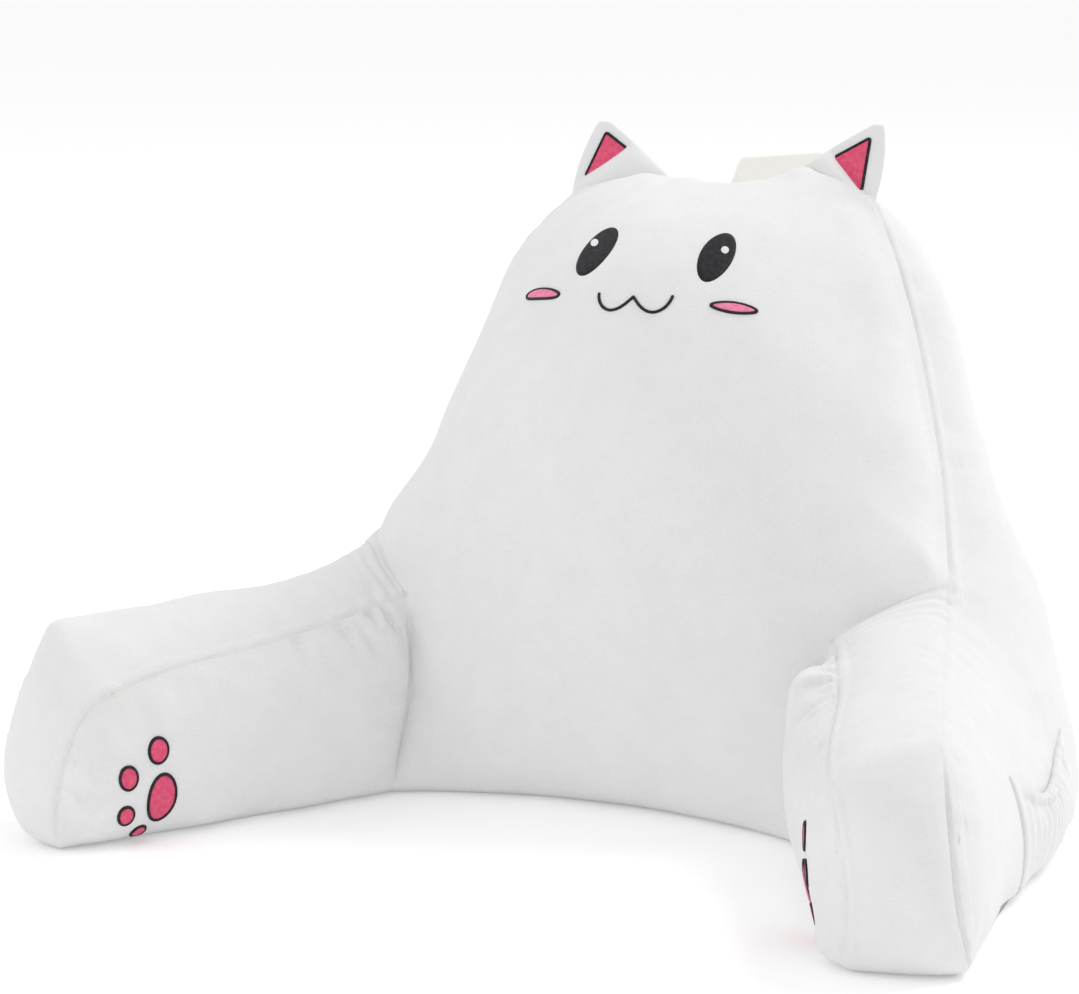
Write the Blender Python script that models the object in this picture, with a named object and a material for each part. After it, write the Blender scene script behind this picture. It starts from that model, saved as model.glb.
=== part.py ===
# Reading pillow with arms: a filled bed rest in plush, with two ears, a carry handle and a side pocket.
# Metres. X runs to the right, Y to the rear, Z up; the base lies flat on Z = 0.
# The case is sewn from panels. Each panel is a patch stretched between its seams and puffed out by the
# filling, so that the seams stay drawn in. Only the right half of a seam is given; the left one mirrors it.

import math

import bpy
import bmesh
import numpy as np
from mathutils import Vector
from mathutils.bvhtree import BVHTree

# ---- driving sizes -------------------------------------------------------------------------------

GAP = 0.0003                 # air between two pieces that touch
BASE_SEAM_Z = 0.006          # height of the seam around the base
BASE_INSET = 0.011           # from that seam in to the flat of the base

# corners where seams meet:              x       y       z
EAR_CORNER = np.array((0.115, 0.119, 0.414))     # top of the back rest, front
REAR_CORNER = np.array((0.092, 0.186, 0.380))    # top of the back rest, rear
ELBOW_OUT = np.array((0.221, -0.006, 0.168))     # arm meets back rest, outer side
ELBOW_IN = np.array((0.163, -0.062, 0.140))      # arm meets back rest, lap side
WAIST_REAR = np.array((0.218, 0.128, 0.168))     # rear seam, level with the elbow
HAND_OUT = np.array((0.319, -0.265, 0.136))      # front of the arm's top, outer side
HAND_IN = np.array((0.257, -0.290, 0.106))       # front of the arm's top, lap side
TOE_OUT = np.array((0.344, -0.290, BASE_SEAM_Z))
TOE_IN = np.array((0.284, -0.315, BASE_SEAM_Z))
LAP = np.array((0.158, -0.092, BASE_SEAM_Z))     # lap side of the arm, against the back rest
HEEL = np.array((0.270, 0.095, BASE_SEAM_Z))     # rear corner of the base
BASE_KNEE = np.array((0.305, 0.005, BASE_SEAM_Z))        # under the elbow

# points that a seam passes between its two corners
#                     x       y       z
SIDE_SEAM_UP = ((0.209, 0.019, 0.187), (0.197, 0.044, 0.224), (0.168, 0.077, 0.301),
                (0.147, 0.094, 0.361), (0.126, 0.110, 0.398))
ARM_TOP_IN = ((0.181, -0.091, 0.131), (0.213, -0.167, 0.118), (0.245, -0.262, 0.113))
ARM_FRONT_IN = ((0.268, -0.306, 0.096), (0.277, -0.314, 0.070))
ARM_TOP_OUT = ((0.231, -0.033, 0.153), (0.248, -0.078, 0.144), (0.290, -0.190, 0.142))
ARM_FRONT_OUT = ((0.330, -0.286, 0.105), (0.340, -0.297, 0.060))
CROSS_SEAM = ((0.196, -0.040, 0.160),)
TOE_SEAM = ((0.313, -0.310, BASE_SEAM_Z),)
LAP_SEAM = ((0.217, -0.206, BASE_SEAM_Z),)
BASE_SIDE = ((0.336, -0.200, BASE_SEAM_Z), (0.317, -0.070, BASE_SEAM_Z))
BASE_HEEL = ((0.292, 0.055, BASE_SEAM_Z),)
REAR_SEAM_LOW = ((0.254, 0.113, 0.080),)
REAR_SEAM_UP = ((0.178, 0.148, 0.250), (0.134, 0.170, 0.340))
SHOULDER = ((0.112, 0.153, 0.403),)
WAIST = ((0.226, 0.062, 0.168),)
FRONT_BASE = ((0.0, -0.050, BASE_SEAM_Z), (0.080, -0.060, BASE_SEAM_Z))
FRONT_TOP = ((0.0, 0.128, 0.418), (0.053, 0.129, 0.428), (0.090, 0.125, 0.425))
REAR_BASE = ((0.0, 0.122, BASE_SEAM_Z), (0.150, 0.116, BASE_SEAM_Z))
REAR_TOP = ((0.0, 0.197, 0.382), (0.050, 0.195, 0.382))

# middle line of the front and of the rear panel, from the base to the top
FRONT_SPINE = ((0, -0.050, BASE_SEAM_Z), (0, -0.068, 0.090), (0, -0.076, 0.190), (0, -0.062, 0.290),
               (0, -0.030, 0.355), (0, 0.018, 0.391), (0, 0.075, 0.410), (0, 0.128, 0.418))
REAR_SPINE = ((0, 0.122, BASE_SEAM_Z), (0, 0.158, 0.090), (0, 0.182, 0.210), (0, 0.200, 0.315),
              (0, 0.197, 0.382))
# the line that the front panel's sides would follow without the step in the seam at the elbow
FRONT_EVEN = ((0.158, -0.088, BASE_SEAM_Z), (0.184, -0.058, 0.100), (0.201, -0.018, 0.170),
              (0.194, 0.045, 0.235), (0.168, 0.077, 0.301), (0.147, 0.094, 0.361), (0.115, 0.119, 0.414))
FRONT_ARC = (math.radians(48), math.radians(86))     # turn from the middle to the side: base, top
REAR_ARC = (math.radians(60), math.radians(60))

# how the filling puffs each panel:  puff = rise close to a seam, reach = width of that rise,
# dome = further rise towards the middle
#                 puff   reach  dome
PUFF = {"front": (0.010, 0.035, 0.000),
        "inner": (0.018, 0.045, 0.019),
        "boxing": (0.008, 0.030, 0.004),
        "side": (0.013, 0.040, 0.016),
        "top": (0.003, 0.030, 0.000),
        "rear": (0.007, 0.040, 0.000)}

# steps of the mesh along the seams
ACROSS = 28                  # front and rear panel, side to side
ARM_LONG = 14
ARM_HIGH = 8
BACK_HIGH = 12
STRIP = 5                    # boxing strip, shoulder, waist

# ears: a stuffed three-cornered pad, sewn on at its base
EAR_INNER = np.array((0.050, 0.131, 0.424))
EAR_OUTER = np.array((0.117, 0.121, 0.404))
EAR_TIP = np.array((0.109, 0.150, 0.462))
EAR_THICK = 0.020
EAR_BOW = 0.004              # how far its two sloping edges curve outwards
EAR_HOLLOW = 0.006           # how far the middle of its base sits back
EAR_ACROSS = 12
EAR_HIGH = 10

# carry handle: a strap that lies on the top at both ends and stands up between them
HANDLE_HALF = 0.050
HANDLE_TURN = 0.42           # share of each half that turns up from the seat
HANDLE_X = 0.006
HANDLE_Y = 0.182
HANDLE_SEAT_Z = 0.3980
HANDLE_RISE = 0.0270
HANDLE_WIDE = 0.020
HANDLE_THICK = 0.0036
HANDLE_LEAN = (math.radians(-26), math.radians(70))      # where it is sewn on, where it stands up
HANDLE_STEPS = 28

# side pocket on the right: gathered into an elastic hem at its mouth
POCKET_FRONT_Y = (-0.172, -0.147)    # at the bottom, at the mouth
POCKET_REAR_Y = (0.022, 0.014)
POCKET_LOW_Z = 0.010
POCKET_HIGH_Z = (0.084, 0.093)       # at its front, at its rear
POCKET_SAG = 0.010                   # of the mouth between its ends
POCKET_STAND = 0.020         # how far the mouth stands off the side panel
POCKET_THICK = 0.0022
POCKET_HEM = 0.0016          # further thickness at the hem
POCKET_PLEATS = 8
POCKET_PLEAT_DEEP = 0.0034
POCKET_ALONG = 44
POCKET_UP = 8


# ---- curves and patches --------------------------------------------------------------------------

def through(points, count):
    """A smooth curve through the points, in count equal steps along its length."""
    p = np.array(points, float)
    if len(p) == 2:
        t = np.linspace(0, 1, count + 1)[:, None]
        return p[0] * (1 - t) + p[1] * t
    chord = np.r_[0, np.cumsum(np.linalg.norm(np.diff(p, axis=0), axis=1))]
    slope = np.gradient(p, chord, axis=0, edge_order=2)

    def at(q):
        i = np.clip(np.searchsorted(chord, q, side="right") - 1, 0, len(chord) - 2)
        h = (chord[i + 1] - chord[i])[:, None]
        t = (q - chord[i])[:, None] / h
        return ((2 * t**3 - 3 * t**2 + 1) * p[i] + (t**3 - 2 * t**2 + t) * h * slope[i]
                + (3 * t**2 - 2 * t**3) * p[i + 1] + (t**3 - t**2) * h * slope[i + 1])

    q = np.linspace(0, chord[-1], 40 * count)
    run = np.r_[0, np.cumsum(np.linalg.norm(np.diff(at(q), axis=0), axis=1))]
    return at(np.interp(np.linspace(0, run[-1], count + 1), run, q))


def joined(*curves):
    return np.concatenate([curves[0]] + [curve[1:] for curve in curves[1:]])


def mirrored(points):
    return points * np.array((-1.0, 1.0, 1.0))


def whole(half, count):
    """A seam that crosses the middle, through points of its right half that start at x = 0."""
    half = np.array(half)
    return through(np.concatenate((mirrored(half[:0:-1]), half)), count)


def share(curve):
    run = np.r_[0, np.cumsum(np.linalg.norm(np.diff(curve, axis=0), axis=1))]
    return run / run[-1]


def patch(low, high, near, far):
    """The surface blended from four seams: low and high run along u, near and far along v."""
    u = ((share(low) + share(high)) / 2)[:, None, None]
    v = ((share(near) + share(far)) / 2)[None, :, None]
    corners = ((1 - u) * (1 - v) * low[0] + u * (1 - v) * low[-1]
               + (1 - u) * v * high[0] + u * v * high[-1])
    return ((1 - v) * low[:, None] + v * high[:, None]
            + (1 - u) * near[None] + u * far[None] - corners)


def round_patch(low, high, side, even, spine, arc):
    """A panel that goes round from its middle line to its two side seams in an arc.

    even is the line its sides follow; what the seam strays from it dies out a short way in."""
    rows = len(side)
    fine = through(spine, 8 * rows)
    row = (np.linspace(0, 1, rows) + share(side)) / 2
    middle = np.stack([np.interp(row, share(fine), fine[:, k]) for k in range(3)], axis=1)
    turn = (arc[0] + (arc[1] - arc[0]) * row**2)[None]
    angle = np.linspace(-1, 1, len(low))[:, None] * turn
    across = np.sin(angle) / np.sin(turn)
    back = (1 - np.cos(angle)) / (1 - np.cos(turn))
    stray = np.abs(across)**5
    edge = even[None] + stray[:, :, None] * (side - even)[None]
    body = np.stack((across * edge[:, :, 0],
                     (1 - back) * middle[None, :, 1] + back * edge[:, :, 1],
                     (1 - back) * middle[None, :, 2] + back * edge[:, :, 2]), axis=2)
    v = share(middle)[None, :, None]
    return body + (1 - v) * (low - body[:, 0])[:, None] + v * (high - body[:, -1])[:, None]


def outward(grid, facing):
    """Unit normals of a patch, evened out and turned towards facing."""
    n = np.cross(np.gradient(grid, axis=0), np.gradient(grid, axis=1))
    n *= np.sign((n * facing).sum(axis=2).mean())
    n /= np.maximum(np.linalg.norm(n, axis=2, keepdims=True), 1e-9)
    for _ in range(4):
        p = np.pad(n, ((1, 1), (1, 1), (0, 0)), mode="edge")
        n = (p[:-2, 1:-1] + p[2:, 1:-1] + p[1:-1, :-2] + p[1:-1, 2:] + 4 * n) / 8
    return n / np.linalg.norm(n, axis=2, keepdims=True)


def puffed(grid, seams, kind, normal):
    """The patch pushed out along normal: nothing on a seam, the full rise a reach away from it."""
    puff, reach, dome = PUFF[kind]
    edge = np.ones(grid.shape[:2])
    middle = np.ones(grid.shape[:2])
    for seam in seams:
        away = np.linalg.norm(grid[:, :, None] - seam[None, None], axis=3).min(axis=2)
        near = np.clip(away / reach, 0, 1)
        edge *= (1 - (1 - near)**2)**0.6
        middle *= 1 - np.exp(-(away / (2 * reach))**2)
    rise = puff * edge + dome * middle
    return grid + normal * rise[:, :, None]


# ---- the case and its seams ----------------------------------------------------------------------

def pillow_seams():
    """Every seam of the case as a row of points, right half only."""
    s = {}
    s["crease"] = through((LAP, ELBOW_IN), ARM_HIGH)
    s["cross"] = through((ELBOW_IN, *CROSS_SEAM, ELBOW_OUT), STRIP)
    s["side"] = through((ELBOW_OUT, *SIDE_SEAM_UP, EAR_CORNER), BACK_HIGH)
    s["arm_top_in"] = through((ELBOW_IN, *ARM_TOP_IN, HAND_IN), ARM_LONG)
    s["arm_front_in"] = through((HAND_IN, *ARM_FRONT_IN, TOE_IN), ARM_HIGH)
    s["arm_top_out"] = through((ELBOW_OUT, *ARM_TOP_OUT, HAND_OUT), ARM_LONG)
    s["arm_front_out"] = through((HAND_OUT, *ARM_FRONT_OUT, TOE_OUT), ARM_HIGH)
    s["toe"] = through((TOE_IN, *TOE_SEAM, TOE_OUT), STRIP)
    s["lap"] = through((LAP, *LAP_SEAM, TOE_IN), ARM_LONG)
    s["base_side"] = through((TOE_OUT, *BASE_SIDE, BASE_KNEE), ARM_LONG)
    s["base_heel"] = through((BASE_KNEE, *BASE_HEEL, HEEL), STRIP)
    s["rear_low"] = through((HEEL, *REAR_SEAM_LOW, WAIST_REAR), ARM_HIGH)
    s["rear_up"] = through((WAIST_REAR, *REAR_SEAM_UP, REAR_CORNER), BACK_HIGH)
    s["shoulder"] = through((EAR_CORNER, *SHOULDER, REAR_CORNER), STRIP)
    s["front_base"] = whole((*FRONT_BASE, LAP), ACROSS)
    s["front_top"] = whole((*FRONT_TOP, EAR_CORNER), ACROSS)
    s["rear_base"] = whole((*REAR_BASE, HEEL), ACROSS)
    s["rear_top"] = whole((*REAR_TOP, REAR_CORNER), ACROSS)
    return s


def pillow_patches():
    """(grid, whether it is mirrored too) for each panel of the case, puffed."""
    s = pillow_seams()
    waist = through((ELBOW_OUT, *WAIST, WAIST_REAR), STRIP)      # no seam: one panel crosses it
    front_side = joined(s["crease"], s["cross"], s["side"])
    rear_side = joined(s["rear_low"], s["rear_up"])
    box_in = joined(s["arm_top_in"], s["arm_front_in"])
    box_out = joined(s["arm_top_out"], s["arm_front_out"])

    even = through(FRONT_EVEN, len(front_side) - 1)
    front = round_patch(s["front_base"], s["front_top"], front_side, even, FRONT_SPINE, FRONT_ARC)
    front = puffed(front, (s["front_base"], s["front_top"], front_side, mirrored(front_side)), "front",
                   outward(front, (0, -1, 0)))
    inner = patch(s["lap"], s["arm_top_in"], s["crease"], s["arm_front_in"][::-1])
    inner = puffed(inner, (s["lap"], s["arm_top_in"], s["crease"], s["arm_front_in"]), "inner",
                   outward(inner, (-1, -0.5, 0)))
    boxing = patch(box_in, box_out, s["cross"], s["toe"])
    boxing = puffed(boxing, (box_in, box_out, s["cross"], s["toe"]), "boxing",
                    outward(boxing, (0, -0.5, 1)))
    side_seams = (box_out, s["side"], s["base_side"], s["base_heel"], rear_side, s["shoulder"])
    side_normal = np.array((0.94, 0.24, 0.24))
    low = patch(joined(s["base_side"], s["base_heel"]), joined(s["arm_top_out"][::-1], waist),
                s["arm_front_out"][::-1], s["rear_low"])
    low = puffed(low, side_seams, "side", side_normal)
    up = patch(waist, s["shoulder"], s["side"], s["rear_up"])
    up = puffed(up, side_seams, "side", side_normal)
    top = patch(s["front_top"], s["rear_top"], mirrored(s["shoulder"]), s["shoulder"])
    top = puffed(top, (s["front_top"], s["rear_top"], s["shoulder"], mirrored(s["shoulder"])), "top",
                 outward(top, (0, 0, 1)))
    rear = round_patch(s["rear_base"], s["rear_top"], rear_side, rear_side, REAR_SPINE, REAR_ARC)
    rear = puffed(rear, (s["rear_base"], s["rear_top"], rear_side, mirrored(rear_side)), "rear",
                  outward(rear, (0, 1, 0)))
    return ((front, False), (inner, True), (boxing, True), (low, True), (up, True), (top, False),
            (rear, False))


# ---- meshes --------------------------------------------------------------------------------------

def add_grid(bm, grid):
    """Quads over a grid of points; a cell whose corners meet in one point is left to the weld."""
    rows = [[bm.verts.new(point) for point in row] for row in grid]
    for i in range(len(rows) - 1):
        for j in range(len(rows[0]) - 1):
            bm.faces.new((rows[i][j], rows[i + 1][j], rows[i + 1][j + 1], rows[i][j + 1]))


def close_base(bm):
    """Rolls the case under from the base seam to the flat of the base, and closes it."""
    rim = [edge for edge in bm.edges if edge.is_boundary]
    inward = {vert: np.zeros(2) for edge in rim for vert in edge.verts}
    for edge in rim:
        loop = edge.link_loops[0]
        ends = (loop.vert, loop.link_loop_next.vert)
        along = np.array((ends[1].co - ends[0].co)[:2])
        for vert in ends:
            inward[vert] += np.array((-along[1], along[0])) / np.linalg.norm(along)
    made = bmesh.ops.extrude_edge_only(bm, edges=rim)["geom"]
    for vert in [item for item in made if isinstance(item, bmesh.types.BMVert)]:
        above = next(edge.other_vert(vert) for edge in vert.link_edges if edge.other_vert(vert) in inward)
        step = BASE_INSET * inward[above] / np.linalg.norm(inward[above])
        vert.co = (vert.co.x + step[0], vert.co.y + step[1], 0.0)
    ring = [item for item in made if isinstance(item, bmesh.types.BMEdge) and item.is_boundary]
    bmesh.ops.contextual_create(bm, geom=ring)


def object_from(bm, name, material=None):
    bmesh.ops.remove_doubles(bm, verts=bm.verts, dist=1e-5)
    bmesh.ops.recalc_face_normals(bm, faces=bm.faces)
    mesh = bpy.data.meshes.new(name)
    bm.to_mesh(mesh)
    bm.free()
    mesh.shade_smooth()
    if material:
        mesh.materials.append(material)
    obj = bpy.data.objects.new(name, mesh)
    bpy.context.collection.objects.link(obj)
    return obj


def finish(name, colour, roughness):
    material = bpy.data.materials.new(name)
    material.use_nodes = True
    shader = material.node_tree.nodes["Principled BSDF"]
    shader.inputs["Base Color"].default_value = (*colour, 1)
    shader.inputs["Roughness"].default_value = roughness
    shader.inputs["Metallic"].default_value = 0.0
    return material


def make_body(material):
    bm = bmesh.new()
    for grid, both in pillow_patches():
        add_grid(bm, grid)
        if both:
            add_grid(bm, mirrored(grid)[::-1])
    bmesh.ops.remove_doubles(bm, verts=bm.verts, dist=1e-5)
    bmesh.ops.recalc_face_normals(bm, faces=bm.faces)
    close_base(bm)
    bmesh.ops.triangulate(bm, faces=bm.faces)
    return object_from(bm, "pillow_body", material)


def make_seat_cutter(body):
    """The body grown by the gap all round: what is sewn to the body is cut back to it."""
    mesh = body.data.copy()
    grown = [vert.co + vert.normal * GAP for vert in mesh.vertices]
    for vert, place in zip(mesh.vertices, grown):
        vert.co = place
    cutter = bpy.data.objects.new("seat_cutter", mesh)
    cutter.hide_render = True
    cutter.display_type = "WIRE"
    bpy.context.collection.objects.link(cutter)
    return cutter


def seat_on(obj, cutter):
    cut = obj.modifiers.new("seat", "BOOLEAN")
    cut.operation = "DIFFERENCE"
    cut.object = cutter


def make_ear(name, sign, material, cutter):
    """Two crowned sheets that meet along the sloping edges; the open base is closed by a flat strip."""
    v = np.linspace(0, 1, EAR_HIGH + 1)[None, :, None]
    u = np.linspace(0, 1, EAR_ACROSS + 1)[:, None, None]
    inner_edge = EAR_INNER * (1 - v) + EAR_TIP * v
    outer_edge = EAR_OUTER * (1 - v) + EAR_TIP * v
    up = EAR_TIP - (EAR_INNER + EAR_OUTER) / 2
    facing = np.cross(EAR_OUTER - EAR_INNER, up)
    facing /= np.linalg.norm(facing)
    if facing[1] > 0:
        facing = -facing
    bow = EAR_BOW * np.sin(math.pi * v) * (2 * u - 1) * np.array((1.0, 0.0, 0.3))
    sheet = inner_edge * (1 - u) + outer_edge * u + bow
    sheet = sheet - facing * EAR_HOLLOW * 4 * u * (1 - u) * (1 - v)
    thick = EAR_THICK / 2 * (4 * u * (1 - u))**0.7 * (1 - v)**0.6
    front = sheet + facing * thick
    rear = sheet - facing * thick
    if sign < 0:
        front, rear = mirrored(front), mirrored(rear)
    bm = bmesh.new()
    add_grid(bm, front)
    add_grid(bm, rear[::-1])
    add_grid(bm, np.stack((rear[:, 0], front[:, 0]), axis=1))
    bmesh.ops.remove_doubles(bm, verts=bm.verts, dist=1e-5)
    bmesh.ops.dissolve_degenerate(bm, edges=bm.edges, dist=1e-6)
    ear = object_from(bm, name, material)
    seat_on(ear, cutter)
    return ear


def tube_grid(middle, wide, thick):
    """Four sides of a strap round its middle line: wide and thick are half widths, as vectors."""
    return np.stack((middle - wide - thick, middle + wide - thick, middle + wide + thick,
                     middle - wide + thick, middle - wide - thick), axis=1)


def make_handle(material, cutter):
    t = np.linspace(-1, 1, HANDLE_STEPS + 1)
    stand = np.clip((1 - np.abs(t)) / HANDLE_TURN, 0, 1)
    stand = stand * stand * (3 - 2 * stand)
    lean = HANDLE_LEAN[0] + (HANDLE_LEAN[1] - HANDLE_LEAN[0]) * stand
    zero = np.zeros_like(t)
    middle = np.stack((HANDLE_X + HANDLE_HALF * t, HANDLE_Y + zero, HANDLE_SEAT_Z + HANDLE_RISE * stand),
                      axis=1)
    wide = HANDLE_WIDE / 2 * np.stack((zero, np.cos(lean), np.sin(lean)), axis=1)
    thick = HANDLE_THICK / 2 * np.stack((zero, -np.sin(lean), np.cos(lean)), axis=1)
    grid = tube_grid(middle, wide, thick)
    bm = bmesh.new()
    add_grid(bm, grid)
    bmesh.ops.remove_doubles(bm, verts=bm.verts, dist=1e-5)
    ends = [edge for edge in bm.edges if edge.is_boundary]
    bmesh.ops.holes_fill(bm, edges=ends, sides=0)
    handle = object_from(bm, "carry_handle", material)
    seat_on(handle, cutter)
    return handle


def make_pocket(body, material, cutter):
    """A sheet that follows the side panel, stands off at its mouth and comes back to it at its three seams."""
    bm = bmesh.new()
    bm.from_mesh(body.data)
    tree = BVHTree.FromBMesh(bm)
    bm.free()
    along = np.linspace(0, 1, POCKET_ALONG + 1)
    up = np.linspace(0, 1, POCKET_UP + 1)
    outer = np.zeros((len(along), len(up), 3))
    inner = outer.copy()
    for i, a in enumerate(along):
        for j, b in enumerate(up):
            front_y = POCKET_FRONT_Y[0] + (POCKET_FRONT_Y[1] - POCKET_FRONT_Y[0]) * b
            rear_y = POCKET_REAR_Y[0] + (POCKET_REAR_Y[1] - POCKET_REAR_Y[0]) * b
            mouth_z = POCKET_HIGH_Z[0] + (POCKET_HIGH_Z[1] - POCKET_HIGH_Z[0]) * a
            mouth_z -= POCKET_SAG * 4 * a * (1 - a)
            y = front_y + (rear_y - front_y) * a
            z = POCKET_LOW_Z + (mouth_z - POCKET_LOW_Z) * b
            hit, normal, _, _ = tree.ray_cast(Vector((1.0, y, z)), Vector((-1.0, 0.0, 0.0)))
            belly = (1.6 * a**0.5 * (1 - a)**0.9) * min(1.0, 1.6 * b)**0.8
            pleat = POCKET_PLEAT_DEEP * (0.5 + 0.5 * math.cos(2 * math.pi * POCKET_PLEATS * a)) * belly
            stand = POCKET_STAND * belly - POCKET_THICK / 2
            thick = POCKET_THICK + POCKET_HEM * (b > 0.8) + pleat
            inner[i, j] = hit + normal * stand
            outer[i, j] = hit + normal * (stand + thick)
    bm = bmesh.new()
    add_grid(bm, outer)
    add_grid(bm, inner[::-1])
    for rim in ((outer[:, 0], inner[:, 0]), (inner[:, -1], outer[:, -1]),
                (inner[0], outer[0]), (outer[-1], inner[-1])):
        add_grid(bm, np.stack(rim, axis=1))
    pocket = object_from(bm, "side_pocket", material)
    seat_on(pocket, cutter)
    return pocket


def clear_scene():
    for obj in list(bpy.data.objects):
        bpy.data.objects.remove(obj, do_unlink=True)


def main():
    clear_scene()
    white = finish("white_plush", (0.86, 0.86, 0.86), 0.9)
    cream = finish("cream_strap", (0.84, 0.78, 0.68), 0.6)
    body = make_body(white)
    cutter = make_seat_cutter(body)
    make_ear("ear_left", -1, white, cutter)
    make_ear("ear_right", 1, white, cutter)
    make_handle(cream, cutter)
    make_pocket(body, white, cutter)


main()
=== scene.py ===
# Looks of the reading pillow with arms: plush cover, stuffed ears, carry strap, gathered side pocket,
# sewn face and paws. Metres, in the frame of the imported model: X to the right, Y to the rear, Z up, and
# the flat base on Z = 0.
import math

import bmesh
import bpy
import numpy as np
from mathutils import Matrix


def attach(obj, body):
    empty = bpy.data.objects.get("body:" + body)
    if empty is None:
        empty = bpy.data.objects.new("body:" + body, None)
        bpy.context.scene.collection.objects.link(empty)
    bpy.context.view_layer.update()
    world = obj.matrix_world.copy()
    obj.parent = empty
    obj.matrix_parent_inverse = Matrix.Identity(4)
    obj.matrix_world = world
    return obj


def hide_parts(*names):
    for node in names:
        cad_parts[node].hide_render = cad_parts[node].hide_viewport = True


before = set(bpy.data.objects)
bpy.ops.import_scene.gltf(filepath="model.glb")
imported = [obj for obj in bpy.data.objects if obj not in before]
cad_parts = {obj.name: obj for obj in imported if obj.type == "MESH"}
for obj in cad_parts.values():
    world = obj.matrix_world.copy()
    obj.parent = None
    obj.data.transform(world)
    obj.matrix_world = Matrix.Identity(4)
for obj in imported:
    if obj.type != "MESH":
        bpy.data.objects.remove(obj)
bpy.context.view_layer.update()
print("frame loaded")


# camera, floor and lights
studio = {
    "place": (1.0324, -2.1728, 0.6624), "lookDown": 10.587, "turn": 27.279,    # camera, its turns in degrees
    "lens": 116.77, "sensor": 36.0, "clip": (0.05, 100.0),
    "key": {"place": (1.5, 2.1, 3.3), "power": 66.0, "size": 2.2},
    "fill": {"place": (-2.4, -2.0, 1.8), "power": 12.0, "size": 1.3},
    "lit": (0, -0.1, 0.2),              # the point that both lights face
    "sky": 0.86,                        # even white light from all round
    "floorSize": 60.0, "floorTone": 0.93,
    "floorGlow": 0.15,                  # the bounce from a wide white floor
}


def aim(thing, place, at):
    # turns a light's -Z axis from its place to a point
    gap = np.array(at, float) - np.array(place, float)
    thing.location = place
    down, turn = math.acos(-gap[2] / np.linalg.norm(gap)), math.atan2(gap[1], gap[0]) - math.pi / 2
    thing.rotation_euler = (down, 0, turn)


def makeStudio():
    data = bpy.data.cameras.new("camera")
    data.lens, data.sensor_width, data.sensor_fit = studio["lens"], studio["sensor"], "HORIZONTAL"
    data.clip_start, data.clip_end = studio["clip"]
    camera = bpy.data.objects.new("camera", data)
    camera.location = studio["place"]
    camera.rotation_euler = (math.radians(90 - studio["lookDown"]), 0, math.radians(studio["turn"]))
    bpy.context.collection.objects.link(camera)
    bpy.context.scene.camera = camera
    for name in ("key", "fill"):
        data = bpy.data.lights.new(name, "AREA")
        data.shape, data.size, data.energy = "DISK", studio[name]["size"], studio[name]["power"]
        light = bpy.data.objects.new(name, data)
        aim(light, studio[name]["place"], studio["lit"])
        bpy.context.collection.objects.link(light)
    world = bpy.data.worlds.new("studio")
    world.use_nodes = True
    sky = world.node_tree.nodes["Background"]
    sky.inputs["Color"].default_value = (1, 1, 1, 1)
    sky.inputs["Strength"].default_value = studio["sky"]
    bpy.context.scene.world = world
    bpy.context.scene.view_settings.view_transform = "Standard"
    half = studio["floorSize"] / 2
    mesh = bpy.data.meshes.new("floor")
    corners = [(-half, -half, 0), (half, -half, 0), (half, half, 0), (-half, half, 0)]
    mesh.from_pydata(corners, [], [(0, 1, 2, 3)])
    floor = bpy.data.objects.new("floor", mesh)
    bpy.context.collection.objects.link(floor)
    return floor


floor = makeStudio()
print("studio made")


# curves, patches and meshes
def pace(count, crowd=0.0):
    # count + 1 shares from 0 to 1; crowd draws them towards both ends by a sine
    t = np.linspace(0, 1, count + 1)
    return t - crowd * np.sin(2 * math.pi * t) / (2 * math.pi)


def through(points, count, crowd=0.0):
    # a cubic Hermite curve through the points, its slopes from their neighbours, paced along its length
    p = np.array(points, float)
    if len(p) == 2:
        t = pace(count, crowd)[:, None]
        return p[0] * (1 - t) + p[1] * t
    chord = lengths(p)
    slope = np.gradient(p, chord, axis=0, edge_order=2)

    def at(q):
        i = np.clip(np.searchsorted(chord, q, side="right") - 1, 0, len(chord) - 2)
        h = (chord[i + 1] - chord[i])[:, None]
        t = (q - chord[i])[:, None] / h
        return ((2 * t**3 - 3 * t**2 + 1) * p[i] + (t**3 - 2 * t**2 + t) * h * slope[i]
                + (3 * t**2 - 2 * t**3) * p[i + 1] + (t**3 - t**2) * h * slope[i + 1])

    q = np.linspace(0, chord[-1], 20 * count)       # close enough together to measure the curve
    run = lengths(at(q))
    return at(np.interp(run[-1] * pace(count, crowd), run, q))


def joined(*curves):
    # curves end to end, with the point that two of them share once
    return np.concatenate([curves[0]] + [curve[1:] for curve in curves[1:]])


def mirrored(points):
    # the same on the other side
    return points * np.array((-1.0, 1.0, 1.0))


def whole(half, count, crowd=0.0):
    # a curve that crosses the middle, from the points of its right half
    half = np.array(half, float)
    return through(np.concatenate((mirrored(half[:0:-1]), half)), count, crowd)


def lengths(curve):
    # how far along a curve each of its points is
    return np.r_[0, np.cumsum(np.linalg.norm(np.diff(curve, axis=0), axis=1))]


def share(curve):
    # the same as a share of the whole length
    run = lengths(curve)
    return run / run[-1]


def patch(low, high, near, far):
    # Coons patch: both rulings between opposite seams, less the bilinear surface of the corners
    u = ((share(low) + share(high)) / 2)[:, None, None]
    v = ((share(near) + share(far)) / 2)[None, :, None]
    corners = (1 - u) * (1 - v) * low[0] + u * (1 - v) * low[-1] + (1 - u) * v * high[0] + u * v * high[-1]
    return (1 - v) * low[:, None] + v * high[:, None] + (1 - u) * near[None] + u * far[None] - corners


readings = 600                          # points that a curve is read at before it is spread over rows


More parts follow.
